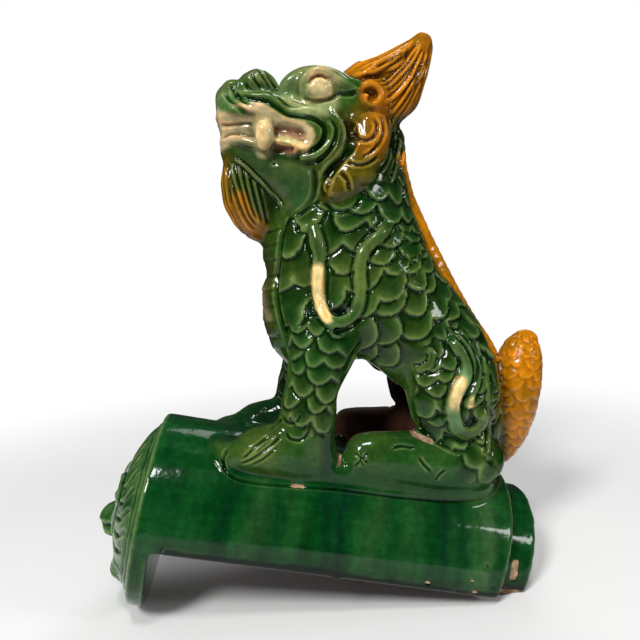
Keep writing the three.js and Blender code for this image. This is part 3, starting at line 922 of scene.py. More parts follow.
@dataclass
class RidgeBeast:
    """The whole fired piece."""

    coarse_voxel: float = 1.7
    fine_voxel: float = 1.02
    easing: int = 30
    light_easing: int = 3
    near_blend: int = 6
    wide_blend: int = 30
    face_limit: int = 198000
    plain_share: float = 0.8
    glaze_thickness: float = 0.6
    half_width: float = 65.93
    head: Head = field(default_factory=Head)
    body: Body = field(default_factory=Body)
    tile: Tile = field(default_factory=Tile)

    def build(self, source: bpy.types.Object) -> bpy.types.Object:
        """Makes the finished mesh.

        Args:
            source: the plain solid that the piece is worked from; it isn't changed.

        Returns:
            The new object, in the shared frame, with its glaze maps.
        """
        clay = self.blank(source)
        self.soften(clay)
        self.press_on(clay)
        shade, rim = self.carve(clay)
        return self.thin(clay, shade, rim)

    def blank(self, source: bpy.types.Object) -> Clay:
        """Copies the plain solid, merges its loose triangles and gives it an even skin.

        Args:
            source: the plain solid.

        Returns:
            The copy, in the tile's frame.
        """
        select_only(source)
        bpy.ops.object.duplicate()
        thing = bpy.context.object
        thing.name = "ridge_beast"
        bpy.ops.object.parent_clear(type="CLEAR_KEEP_TRANSFORM")
        bpy.ops.object.mode_set(mode="EDIT")
        bpy.ops.mesh.select_all(action="SELECT")
        bpy.ops.mesh.remove_doubles(threshold=1e-6)
        bpy.ops.object.mode_set(mode="OBJECT")
        thing.data.transform(PLACE.tile_matrix())
        clay = Clay(thing)
        clay.remesh(self.coarse_voxel)
        log.info("blank: %d points", len(thing.data.vertices))
        return clay

    def soften(self, clay: Clay) -> None:
        """Rounds off the beast's facets, and only eases the tile's edges.

        Args:
            clay: the blank.
        """
        surface = clay.read()
        eased = clay.averaged(surface.points, self.easing)
        for _ in range(2):
            eased = eased + clay.averaged(surface.points - eased, self.easing)
        light = clay.averaged(surface.points, self.light_easing)
        beast = 1 - surface.on_tile
        beast *= 1 - smooth_step(surface.points[:, 0], 252, 262) * (surface.points[:, 2] < 60)
        clay.write(light + (eased - light) * beast[:, None])

    def press_on(self, clay: Clay) -> None:
        """Joins the rolled and pressed parts to the body and gives all of it one fine skin.

        Args:
            clay: the softened blank.
        """
        parts = []
        for part in (*self.head.rolls, *self.head.beads, *self.body.rolls):
            parts.extend(part.make())
        select_only(clay.thing, *parts)
        bpy.ops.object.join()
        clay.remesh(self.fine_voxel)
        surface = clay.read()
        clay.write(clay.averaged(surface.points, self.light_easing))
        log.info("body with its parts: %d points", len(clay.thing.data.vertices))

    def carve(self, clay: Clay) -> tuple[np.ndarray, np.ndarray]:
        """Cuts hair, folds, scales and marks.

        Args:
            clay: the body with its parts on.

        Returns:
            The darkening below the scales' edges, glaze pooling with painted shade, and the paling on their
            rims, thin glaze with painted highlight.
        """
        surface = clay.read()
        lift = press(surface, self.body.ribbons)
        clay.write(surface.points + surface.normals * lift[:, None])
        raised = smooth_step(lift, 0.15, 0.6)
        surface = clay.read()
        count = len(surface.points)
        shade, rim, total = np.zeros(count), np.zeros(count), np.zeros(count)
        for coat in self.body.coats:
            scales, pooled_and_shaded, thin_and_lit = coat.cut(surface)
            strongest = np.abs(scales) > np.abs(total)
            total = np.where(strongest, scales, total)
            shade, rim = np.maximum(shade, pooled_and_shaded), np.maximum(rim, thin_and_lit)
        flat = np.column_stack([total, shade, rim]) * (1 - raised)[:, None]
        # The ribbons' feet get painted shade and their edges painted highlight, as the scales do.
        for ribbon in self.body.ribbons:
            pooled_and_shaded, thin_and_lit = ribbon.edges(surface)
            flat[:, 1] = np.maximum(flat[:, 1], pooled_and_shaded)
            flat[:, 2] = np.maximum(flat[:, 2], thin_and_lit)
        total, shade, rim = clay.averaged(flat, 1).T
        total += press(surface, (*self.head.cuts, *self.head.mane, *self.head.beard, *self.body.folds,
                                 *self.body.marks))
        total += press(surface, (*self.tile.lines, *self.tile.dabs()))
        total += self.scute_lift(surface) + self.spine_lift(surface)
        total -= self.glaze_thickness * Glazing().spots(surface)
        points = surface.points + surface.normals * total[:, None]
        points[:, 1] = np.clip(points[:, 1], -self.half_width, self.half_width)
        clay.write(points)
        return shade, rim

    def scute_lift(self, surface: Surface) -> np.ndarray:
        """The belly's plates: shallow steps across the breast, one below another.

        Args:
            surface: the clay.

        Returns:
            The lift at each point, in millimetres.
        """
        x, z = surface.maps[Map.FLANK][0].T
        breast = smooth_step(-surface.facing[:, 0], 0.2, 0.5) * (1 - smooth_step(surface.across, 20, 24))
        breast *= (x < 116) * smooth_step(z, 160, 170) * (1 - smooth_step(z, 256, 262))
        lift = np.zeros(len(z))
        for level in self.body.scutes:
            below = level - z + 0.02 * surface.across**1.5
            lift += -0.5 * np.exp(-((below / 1.0) ** 2)) + 0.2 * np.exp(-(((below + 2.4) / 1.6) ** 2))
        return lift * breast

    def spine_lift(self, surface: Surface) -> np.ndarray:
        """The beads along the spine's ridge.

        Args:
            surface: the clay.

        Returns:
            The lift at each point, in millimetres.
        """
        distance, length, _side = along_line(surface.maps[Map.FLANK][0], flow(self.body.spine))
        near = (1 - smooth_step(surface.across, 5, 7.5)) * (1 - smooth_step(distance, 6, 9))
        beads = np.abs(np.sin(math.pi * length / self.body.spine_pitch)) ** 0.7
        return near * (0.4 * beads - 0.2)

    def decimate(self, thing: bpy.types.Object, ratio: float, group: str = "") -> None:
        """Brings the mesh down to a part of its triangles, only within the vertex group if one is named.

        Args:
            thing: the mesh, selected.
            ratio: the part that is kept.
            group: the vertex group's name.
        """
        modifier = thing.modifiers.new("thin", "DECIMATE")
        modifier.ratio = ratio
        modifier.vertex_group = group
        bpy.ops.object.modifier_apply(modifier=modifier.name)
        log.info("thinned to %d faces", len(thing.data.polygons))

    def thin(self, clay: Clay, shade: np.ndarray, rim: np.ndarray) -> bpy.types.Object:
        """Brings the mesh under its face limit and carries the glaze maps over to it.

        Args:
            clay: the carved body.
            shade: the darkening below the scales' edges, glaze pooling with painted shade.
            rim: the paling on their rims, thin glaze with painted highlight.

        Returns:
            The finished object, in the shared frame.
        """
        surface = clay.read()
        # Maps of hollows and bulges: the glaze material paints shade into the hollows and highlight onto the
        # bulges.
        near = surface.points - clay.averaged(surface.points, self.near_blend)
        wide = surface.points - clay.averaged(surface.points, self.wide_blend)
        hollow_near = -(near * surface.normals).sum(1)
        hollow_wide = -(wide * surface.normals).sum(1)
        thing = clay.thing
        tree = KDTree(len(surface.points))
        for index, point in enumerate(surface.points):
            tree.insert(point, index)
        tree.balance()
        select_only(thing)
        plain = np.flatnonzero((surface.on_tile > 0.9) & (surface.points[:, 0] > 22))
        group = thing.vertex_groups.new(name="plain")
        group.add(plain.tolist(), 1.0, "REPLACE")
        self.decimate(thing, 1 - self.plain_share * len(plain) / len(surface.points), group.name)
        triangles = sum(len(p.vertices) - 2 for p in thing.data.polygons)
        self.decimate(thing, min(1.0, self.face_limit / triangles))
        thing.vertex_groups.clear()
        thinned = clay.read()
        found = [tree.find_n(point, 4) for point in thinned.points]
        source = np.array([[hit[1] for hit in hits] for hits in found])
        weight = 1 / (np.array([[hit[2] for hit in hits] for hits in found]) + 0.15)
        weight /= weight.sum(1, keepdims=True)
        maps = {"shade": shade, "rim": rim, "hollow": hollow_near, "hollow_wide": hollow_wide}
        for name, values in maps.items():
            values = (values[source] * weight).sum(1)
            layer = thing.data.attributes.new(name, "FLOAT", "POINT")
            layer.data.foreach_set("value", values.astype(np.float32))
        Glazing().brush(thing.data, thinned)
        thing.data.transform(PLACE.tile_matrix().inverted())
        bpy.ops.object.shade_smooth()
        log.info("finished piece: %d points, %d faces", len(thing.data.vertices), len(thing.data.polygons))
        return thing


# ---------------------------------------------------------------------------------------------------------
# Glazes


class Glaze(Enum):
    """The glazes and the bare clay, as linear colours."""

    GREEN = (0.022, 0.070, 0.010)
    LEAF = (0.038, 0.090, 0.016)
    TILE_GREEN = (0.0018, 0.054, 0.0060)
    TEAL = (0.0010, 0.022, 0.009)
    JADE = (0.050, 0.090, 0.028)
    MINT = (0.270, 0.400, 0.180)
    MOSS = (0.030, 0.040, 0.006)
    OLIVE = (0.075, 0.062, 0.004)
    AMBER = (0.400, 0.158, 0.003)
    HONEY = (0.270, 0.102, 0.004)
    RUST = (0.330, 0.190, 0.110)
    CREAM = (0.700, 0.600, 0.270)
    EYE_CREAM = (0.600, 0.520, 0.270)
    LID = (0.380, 0.370, 0.210)
    BISQUE = (0.450, 0.385, 0.215)
    IVORY = (0.480, 0.430, 0.215)
    SAGE = (0.150, 0.200, 0.085)
    PALE_RUN = (0.060, 0.135, 0.045)
    # Not a glaze: the painted shade along the tile's lower edge.
    EDGE_POOL = (0.0008, 0.004, 0.002)
    WORN_GREEN = (0.070, 0.150, 0.045)
    CLAY = (0.460, 0.250, 0.150)


@dataclass(frozen=True)
class Stroke:
    """A stroke of the glazing brush: colour, line, brush radius and how soft its edge is."""

    colour: Glaze
    points: Path2
    radius: float
    soft: float = 2.0
    where: Map = Map.FLANK
    near: float = -1.0
    far: float = 200.0
    strength: float = 1.0

    def cover(self, surface: Surface) -> np.ndarray:
        """How much of each point it covers, from 0 to 1.

        Args:
            surface: the clay.

        Returns:
            The cover at each point.
        """
        place, faces = surface.maps[self.where]
        line = flow(self.points) if len(self.points) > 2 else np.array(self.points, float)
        distance, _length, _side = along_line(place, line)
        part = 1 - smooth_step(distance, self.radius - self.soft, self.radius + self.soft)
        gate = (surface.across >= self.near) & (surface.across <= self.far)
        if self.where is not Map.FLANK:
            part = part * (faces > 0.05)
        return part * gate * self.strength


@dataclass(frozen=True)
class Fill:
    """A patch of glaze inside an outline."""

    colour: Glaze
    outline: Path2
    soft: float = 2.0
    near: float = -1.0
    far: float = 200.0
    strength: float = 1.0

    def cover(self, surface: Surface) -> np.ndarray:
        """How much of each point it covers, from 0 to 1.

        Args:
            surface: the clay.

        Returns:
            The cover at each point.
        """
        within = inside_outline(surface.maps[Map.FLANK][0], self.outline)
        gate = (surface.across >= self.near) & (surface.across <= self.far)
        return smooth_step(within, -self.soft, self.soft) * gate * self.strength


@dataclass(frozen=True)
class Glazing:
    """Where each glaze was brushed."""

    work: tuple[Stroke | Fill, ...] = (
        Stroke(Glaze.LEAF, ((150, 226), (172, 208), (196, 200)), 16, 12, near=16, strength=0.5),
        Fill(Glaze.LEAF, ((134, 190), (104, 180), (98, 140), (62, 122), (56, 96), (120, 84), (138, 120)), 10,
             near=18, strength=0.85),
        Fill(Glaze.LEAF, ((150, 108), (190, 106), (214, 120), (232, 140), (244, 110), (244, 84), (200, 84),
                          (150, 92)), 9, near=22, strength=0.7),
        Fill(Glaze.LEAF, ((118, 240), (150, 236), (160, 200), (130, 190), (108, 200), (106, 230)), 10,
             near=14, strength=0.5),
        Fill(Glaze.JADE, ((84, 316), (100, 303), (122, 300), (134, 294), (134, 278), (127, 266), (112, 268),
                          (100, 286), (88, 302)), 5, near=8),
        Fill(Glaze.JADE, ((118, 345), (128, 352), (146, 356), (158, 350), (152, 336), (150, 326), (136, 326),
                          (122, 334)), 4, near=12),
        Stroke(Glaze.MINT, ((119, 344), (123, 350), (130, 353), (138, 357), (147, 356), (153, 350)), 4.5,
               4.5, near=12, strength=0.4),
        Fill(Glaze.MINT, ((115, 345), (122, 342), (127, 338.5), (133, 338), (141, 336), (151, 336),
                          (152, 330), (141, 325.5), (132, 325), (122, 330)),
             4.0, near=12, strength=0.95),
        Fill(Glaze.SAGE, ((70, 354), (80, 352), (90, 342), (84, 334), (70, 336)), 5, strength=0.55),
        Fill(Glaze.SAGE, ((76, 352), (84, 358), (96, 361), (110, 360), (118, 348), (100, 343), (84, 345)), 5,
             strength=0.25),
        Fill(Glaze.BISQUE, ((62, 342), (73, 339), (77, 334), (82, 331), (87, 329.5), (93, 328.5), (99, 328),
                            (99, 309.5), (91, 312), (86, 314), (80, 313), (74, 310),
                            (62, 312)), 1.8, strength=0.97),
        Fill(Glaze.BISQUE, ((85, 336.5), (94, 335.5), (102, 335.5), (109, 330.5), (114, 326.5), (121, 323.5),
                            (129, 321.5), (133.5, 318), (135, 312), (132, 306.5), (128, 302.5), (124, 306),
                            (130, 311), (129.5, 315.5), (124, 318.5), (114, 320), (109, 321), (105, 327),
                            (96, 330.5)), 1.2, near=12),
        Fill(Glaze.RUST, ((109, 319), (114, 320.3), (124, 318.6), (129.6, 315.5), (129.5, 311), (124, 311),
                          (113, 315.5)), 0.8, near=14),
        Stroke(Glaze.RUST, ((108, 309.5), (115, 307), (122, 305)), 2.0, 0.8, near=14),
        Stroke(Glaze.CREAM, ((107, 314.2), (116, 312.5), (124, 308.5), (129, 305.5)), 1.9, 0.9, near=14,
               strength=0.75),
        Stroke(Glaze.JADE, ((88, 311), (96, 309), (102, 304)), 3.4, 3, near=8, strength=0.8),
        Stroke(Glaze.JADE, ((94, 324), (96, 319)), 2.2, 2.2, near=8, strength=0.6),
        Stroke(Glaze.IVORY, ((103, 324), (102.7, 315), (102.5, 308)), 6.0, 1.3, near=20),
        Stroke(Glaze.HONEY, ((101.5, 318), (101.7, 315)), 1.0, 1.3, near=20, strength=0.5),
        Stroke(Glaze.SAGE, ((106.5, 310), (104, 305)), 2.6, 2.2, near=20, strength=0.8),
        Stroke(Glaze.EYE_CREAM, ((141, 345.5), (141.8, 342.5)), 7.2, 1.5, near=16),
        Stroke(Glaze.SAGE, ((136, 337.5), (141, 336.5), (147, 337.5)), 2.2, 1.8, near=16, strength=0.8),
        Stroke(Glaze.MINT, ((131, 342), (133, 348)), 2.4, 2.4, near=16, strength=0.7),
        Stroke(Glaze.LID, ((134, 350), (138, 353), (143, 354.5), (148.5, 351.5), (151, 348)), 2.0, 1.9,
               near=16, strength=0.75),
        Stroke(Glaze.HONEY, ((136, 349.3), (142, 350.8)), 1.2, 1.2, near=16, strength=0.5),
        Fill(Glaze.HONEY, ((152, 372), (152, 358), (162, 352.5), (167, 348), (166.5, 336), (172, 327),
                           (184, 320), (194, 318), (203, 320), (232, 370), (226, 400),
                           (200, 396)), 2.5),
        Stroke(Glaze.AMBER, ((168, 362), (184, 366), (198, 374), (212, 383)), 9, 6, strength=0.7),
        Stroke(Glaze.AMBER, ((190, 336), (200, 348), (212, 366)), 4, 4, strength=0.5),
        Stroke(Glaze.GREEN, ((154, 353), (161, 351), (165.5, 346.5), (161, 343.5)), 3.4, 1.8, near=14),
        Fill(Glaze.HONEY, ((158, 326), (166, 332), (180, 330), (187, 320), (187, 305), (176, 292),
                           (158, 294), (161, 306), (156, 316)), 2.0,
             near=25, strength=0.85),
        Stroke(Glaze.GREEN, ((160, 339), (162.5, 332), (158, 326)), 3.4, 2.2, near=20),
        Stroke(Glaze.OLIVE, ((160, 312), (161, 320), (164, 327), (171, 329)), 4.6, 3.4, near=25,
               strength=0.9),
        Fill(Glaze.OLIVE, ((151, 297), (176, 297), (175, 286), (162, 275), (150, 268), (136, 270),
                           (136, 282), (146, 290)), 3.0, near=27),
        Stroke(Glaze.MOSS, ((153, 329), (154.5, 316), (150, 304), (141, 296), (134.5, 286), (135, 273)), 3.0,
               3, near=20, strength=0.75),
        Fill(Glaze.MOSS, ((204, 330), (186, 326), (184, 300), (173, 286), (184, 275), (198, 287),
                          (206, 300)), 3, near=3, strength=0.85),
        Stroke(Glaze.MOSS, ((197, 338), (198, 326), (199, 316), (200, 305)), 5, 3, far=10, strength=0.8),
        Stroke(Glaze.AMBER, ((203, 296), (206, 275), (222, 232), (243, 188), (263, 151), (268, 132)), 8, 2.5,
               far=7.5),
        Fill(Glaze.AMBER, ((262, 156), (280, 176), (310, 172), (306, 110), (288, 70), (276, 66), (262, 60),
                           (264, 90), (261, 130)), 2.0),
        Stroke(Glaze.OLIVE, ((258, 150), (259, 120), (261, 92), (261, 74)), 5, 4, strength=0.8),
        Fill(Glaze.MOSS, ((76, 310), (84, 306), (104, 284), (106, 262), (94, 256), (84, 262), (74, 280),
                          (72, 300)), 4, strength=0.8),
        Stroke(Glaze.HONEY, ((72.5, 302), (72, 293), (72.5, 282), (76, 270), (84, 260), (93, 252.5)), 4.2,
               3.4, strength=0.85),
        Stroke(Glaze.HONEY, ((84, 278), (89, 266), (97, 258)), 3.5, 4, strength=0.6),
        Fill(Glaze.MOSS, ((90, 250), (105, 248), (103, 225), (100, 205), (102, 180), (96, 170), (88, 200)),
             4, far=20, strength=0.8),
        Stroke(Glaze.BISQUE, ((92.5, 238), (92, 224), (93, 208), (96, 196)), 2.2, 2.4, far=26, strength=0.45),
        Stroke(Glaze.OLIVE, ((75, 306), (72.5, 298), (72, 290), (72.5, 281)), 4.0, 3.0, strength=0.8),
        Stroke(Glaze.CREAM, ((130.5, 228), (129.5, 220), (129.8, 210), (131, 201), (133.5, 196)), 3.5, 1.4,
               near=22, strength=0.95),
        Stroke(Glaze.HONEY, ((132.8, 219), (132.6, 212), (133, 208)), 0.8, 1.2, near=22, strength=0.55),
        Stroke(Glaze.HONEY, ((130.5, 206), (132, 200), (134, 196)), 0.9, 1.4, near=22, strength=0.5),
        Stroke(Glaze.TEAL, ((138, 200.5), (143, 199), (149, 202)), 3.0, 1.6, near=22),
        Stroke(Glaze.SAGE, ((222, 152), (216, 141), (212.5, 128), (213, 116)), 5.4, 2.6, near=24,
               strength=0.8),
        Stroke(Glaze.CREAM, ((219, 147), (215.5, 140), (213, 130)), 3.6, 2.0, near=24, strength=0.9),
        Stroke(Glaze.SAGE, ((213, 128), (214, 118)), 3.0, 2.4, near=24, strength=0.7),
        Stroke(Glaze.CREAM, ((225.5, 135), (224.5, 130)), 1.7, 1.6, near=24, strength=0.8),
        Stroke(Glaze.TEAL, ((225, 121), (227, 119)), 4.6, 2, near=24),
        Stroke(Glaze.TEAL, ((130, 118), (128, 104), (126, 90), (125, 80)), 5.5, 4, near=34, strength=0.75),
    )
    bare_spots: tuple[Stroke, ...] = (
        Stroke(Glaze.CLAY, ((188, 111), (193, 108.5), (199, 106)), 1.5, 1.0, near=30),
        Stroke(Glaze.CLAY, ((138, 104), (136.5, 100), (135, 96)), 1.2, 1.1, near=30),
        Stroke(Glaze.CLAY, ((94, 51.5), (101, 51)), 1.0, 0.8, Map.BARREL),
        Stroke(Glaze.CLAY, ((255, 94), (255.5, 88), (256, 82)), 2.5, 1.0, Map.BARREL),
        Stroke(Glaze.CLAY, ((223, 103.5), (225, 103.5)), 0.9, 0.7, Map.BARREL),
        Stroke(Glaze.CLAY, ((240, 108.5), (250, 107), (263, 107)), 1.9, 2.4, Map.BARREL),
        Stroke(Glaze.CLAY, ((190, 101), (192, 101)), 0.8, 0.7, Map.BARREL),
        Stroke(Glaze.CLAY, ((220.5, 96), (221.5, 96)), 0.7, 0.7, Map.BARREL),
    )

    def spots(self, surface: Surface) -> np.ndarray:
        """How much of each point lies in a patch that the glaze missed or lost.

        Args:
            surface: the clay.

        Returns:
            The bare part at each point, from 0 to 1.
        """
        found = np.zeros(len(surface.points))
        for spot in self.bare_spots:
            found = np.maximum(found, spot.cover(surface))
        return found

    def brush(self, mesh: bpy.types.Mesh, surface: Surface) -> None:
        """Lays all the glazes on the mesh as a colour map, with maps of bare clay and of painted shade
        in the hollows.

        Args:
            mesh: the finished mesh, with its points in the tile's frame.
            surface: the same points with their maps.
        """
        count = len(surface.points)
        on_tile = surface.on_tile
        colour = np.tile(np.array(Glaze.GREEN.value), (count, 1))
        tile = np.array(Glaze.TILE_GREEN.value)
        low = (1 - smooth_step(surface.beast[:, 2], 82, 104)) * smooth_step(surface.across, 24, 36)
        colour += (tile - colour) * np.maximum(on_tile, 0.6 * low)[:, None]
        for stroke in self.work:
            part = (stroke.cover(surface) * (1 - on_tile))[:, None]
            colour = colour * (1 - part) + np.array(stroke.colour.value) * part
        beast_x, beast_y, beast_z = surface.beast.T
        # Painted shade: the legs' inner faces, turned to the middle plane, are made dark teal.
        inward = smooth_step(-surface.facing[:, 1] * np.sign(beast_y), -0.25, 0.35)
        inner_leg_shade = inward * (1 - smooth_step(beast_x, 138, 148))
        inner_leg_shade = inner_leg_shade * (1 - smooth_step(beast_z, 176, 196)) * (surface.across < 46)
        inner_leg_shade = (0.85 * inner_leg_shade * (1 - on_tile))[:, None]
        colour = colour * (1 - inner_leg_shade) + np.array(Glaze.TEAL.value) * inner_leg_shade
        # Painted shade: the bare clay in the hollows is darkened.
        interior_shade = self.bare(surface)
        bare = np.maximum(interior_shade, smooth_step(self.spots(surface), 0.2, 0.7))
        face = surface.maps[Map.DISC][1]
        layer = mesh.attributes.new("place", "FLOAT_VECTOR", "POINT")
        layer.data.foreach_set("vector", (surface.points * MM).astype(np.float32).ravel())
        layer = mesh.color_attributes.new("glaze", "FLOAT_COLOR", "POINT")
        layer.data.foreach_set("color", np.column_stack([colour, np.ones(count)]).astype(np.float32).ravel())
        for name, values in {"bare": bare, "interior_shade": interior_shade, "worn": face, "tile": on_tile}.items():
            layer = mesh.attributes.new(name, "FLOAT", "POINT")
            layer.data.foreach_set("value", values.astype(np.float32))

    def bare(self, surface: Surface) -> np.ndarray:
        """Where the clay shows: inside the tile, on its tenon's inner face and in the belly's hollow. The
        same mask also sets where painted shade darkens that clay.

        Args:
            surface: the clay.

        Returns:
            How bare each point is, from 0 to 1.
        """
        (x, _y, z), reach = surface.points.T, surface.reach
        under = (1 - smooth_step(reach, 58, 61)) * (z < 60) * (x > 11)
        tenon = (x > 238) * (1 - smooth_step(reach, 47, 50))
        under = np.where(x > 236, tenon, under)
        beast_x, beast_y, beast_z = surface.beast.T
        inward = smooth_step(-surface.facing[:, 1] * np.sign(beast_y), -0.1, 0.3)
        belly = (beast_x > 134) * (beast_x < 256) * (beast_z > 96) * (beast_z < 166)
        belly = belly * (surface.across < 33) * inward
        middle = (beast_x > 150) * (beast_x < 256) * (beast_z > 92) * (beast_z < 164) * (surface.across < 24)
        middle = middle * (1 - (beast_x > 226) * smooth_step(surface.facing[:, 0], -0.1, 0.2))
        return np.clip(np.maximum.reduce([under, belly, middle]), 0, 1)


class Nodes:
    """A short way to lay out a material's nodes."""

    def __init__(self, name: str) -> None:
        """Starts an empty node material.

        Args:
            name: the material's name.
        """
        self.material = bpy.data.materials.new(name)
        self.material.use_nodes = True
        self.tree = self.material.node_tree
        self.tree.nodes.clear()

    def add(self, kind: str, **settings: object) -> bpy.types.Node:
        """Adds a node and sets its plain properties.

        Args:
            kind: the node's type.
            settings: its properties and their values.

        Returns:
            The node.
        """
        node = self.tree.nodes.new(kind)
        for name, value in settings.items():
            setattr(node, name, value)
        return node

    def link(self, source: object, target: object) -> None:
        """Joins an output to an input."""
        self.tree.links.new(source, target)

    def attribute(self, name: str) -> bpy.types.NodeSocket:
        """A number kept on the mesh."""
        return self.add("ShaderNodeAttribute", attribute_name=name).outputs["Fac"]

    def math(self, operation: str, first: object, second: object = 0.0,
             clamp: bool = False) -> bpy.types.NodeSocket:
        """One sum.

        Args:
            operation: which sum.
            first: a number or a socket.
            second: a number or a socket.
            clamp: whether the result is kept from 0 to 1.

        Returns:
            The result.
        """
        node = self.add("ShaderNodeMath", operation=operation, use_clamp=clamp)
        for socket, value in zip(node.inputs, (first, second)):
            if isinstance(value, (int, float)):
                socket.default_value = value
            else:
                self.link(value, socket)
        return node.outputs[0]

    def ramp(self, value: object, low: float, high: float) -> bpy.types.NodeSocket:
        """Zero at low, one at high, smooth between.

        Args:
            value: the socket read.
            low: where the ramp starts.
            high: where it ends.

        Returns:
            The result.
        """
        node = self.add("ShaderNodeMapRange", interpolation_type="SMOOTHSTEP")
        self.link(value, node.inputs["Value"])
        node.inputs["From Min"].default_value = low
        node.inputs["From Max"].default_value = high
        return node.outputs["Result"]

    def noise(self, scale: float, detail: float = 4.0, rough: float = 0.55,
              stretch: tuple[float, float, float] = (1, 1, 1),
              place: object = None) -> bpy.types.NodeSocket:
        """Noise on the object's own coordinates, in metres, or on the place given.

        Args:
            scale: how fine it is.
            detail: how many layers it has.
            rough: how strong its fine layers are.
            stretch: how much finer it is along each axis.
            place: the coordinates that it is read at.

        Returns:
            The noise, from 0 to 1.
        """
        mapping = self.add("ShaderNodeMapping")
        mapping.inputs["Scale"].default_value = stretch
        self.link(place or self.add("ShaderNodeTexCoord").outputs["Object"], mapping.inputs["Vector"])
        node = self.add("ShaderNodeTexNoise")
        self.link(mapping.outputs["Vector"], node.inputs["Vector"])
        node.inputs["Scale"].default_value = scale
        node.inputs["Detail"].default_value = detail
        node.inputs["Roughness"].default_value = rough
        return node.outputs["Fac"]

    def mix(self, part: object, first: object, second: object, blend: str = "MIX") -> bpy.types.NodeSocket:
        """Two colours mixed.

        Args:
            part: how much of the second there is.
            first: a colour or a socket.
            second: a colour or a socket.
            blend: how they are mixed.

        Returns:
            The mixed colour.
        """
        node = self.add("ShaderNodeMix", data_type="RGBA", blend_type=blend, clamp_result=False)
        for socket, value in ((node.inputs[0], part), (node.inputs[6], first), (node.inputs[7], second)):
            if isinstance(value, (int, float)):
                socket.default_value = value
            elif isinstance(value, tuple):
                socket.default_value = (*value, 1.0)
            else:
                self.link(value, socket)
        return node.outputs[2]


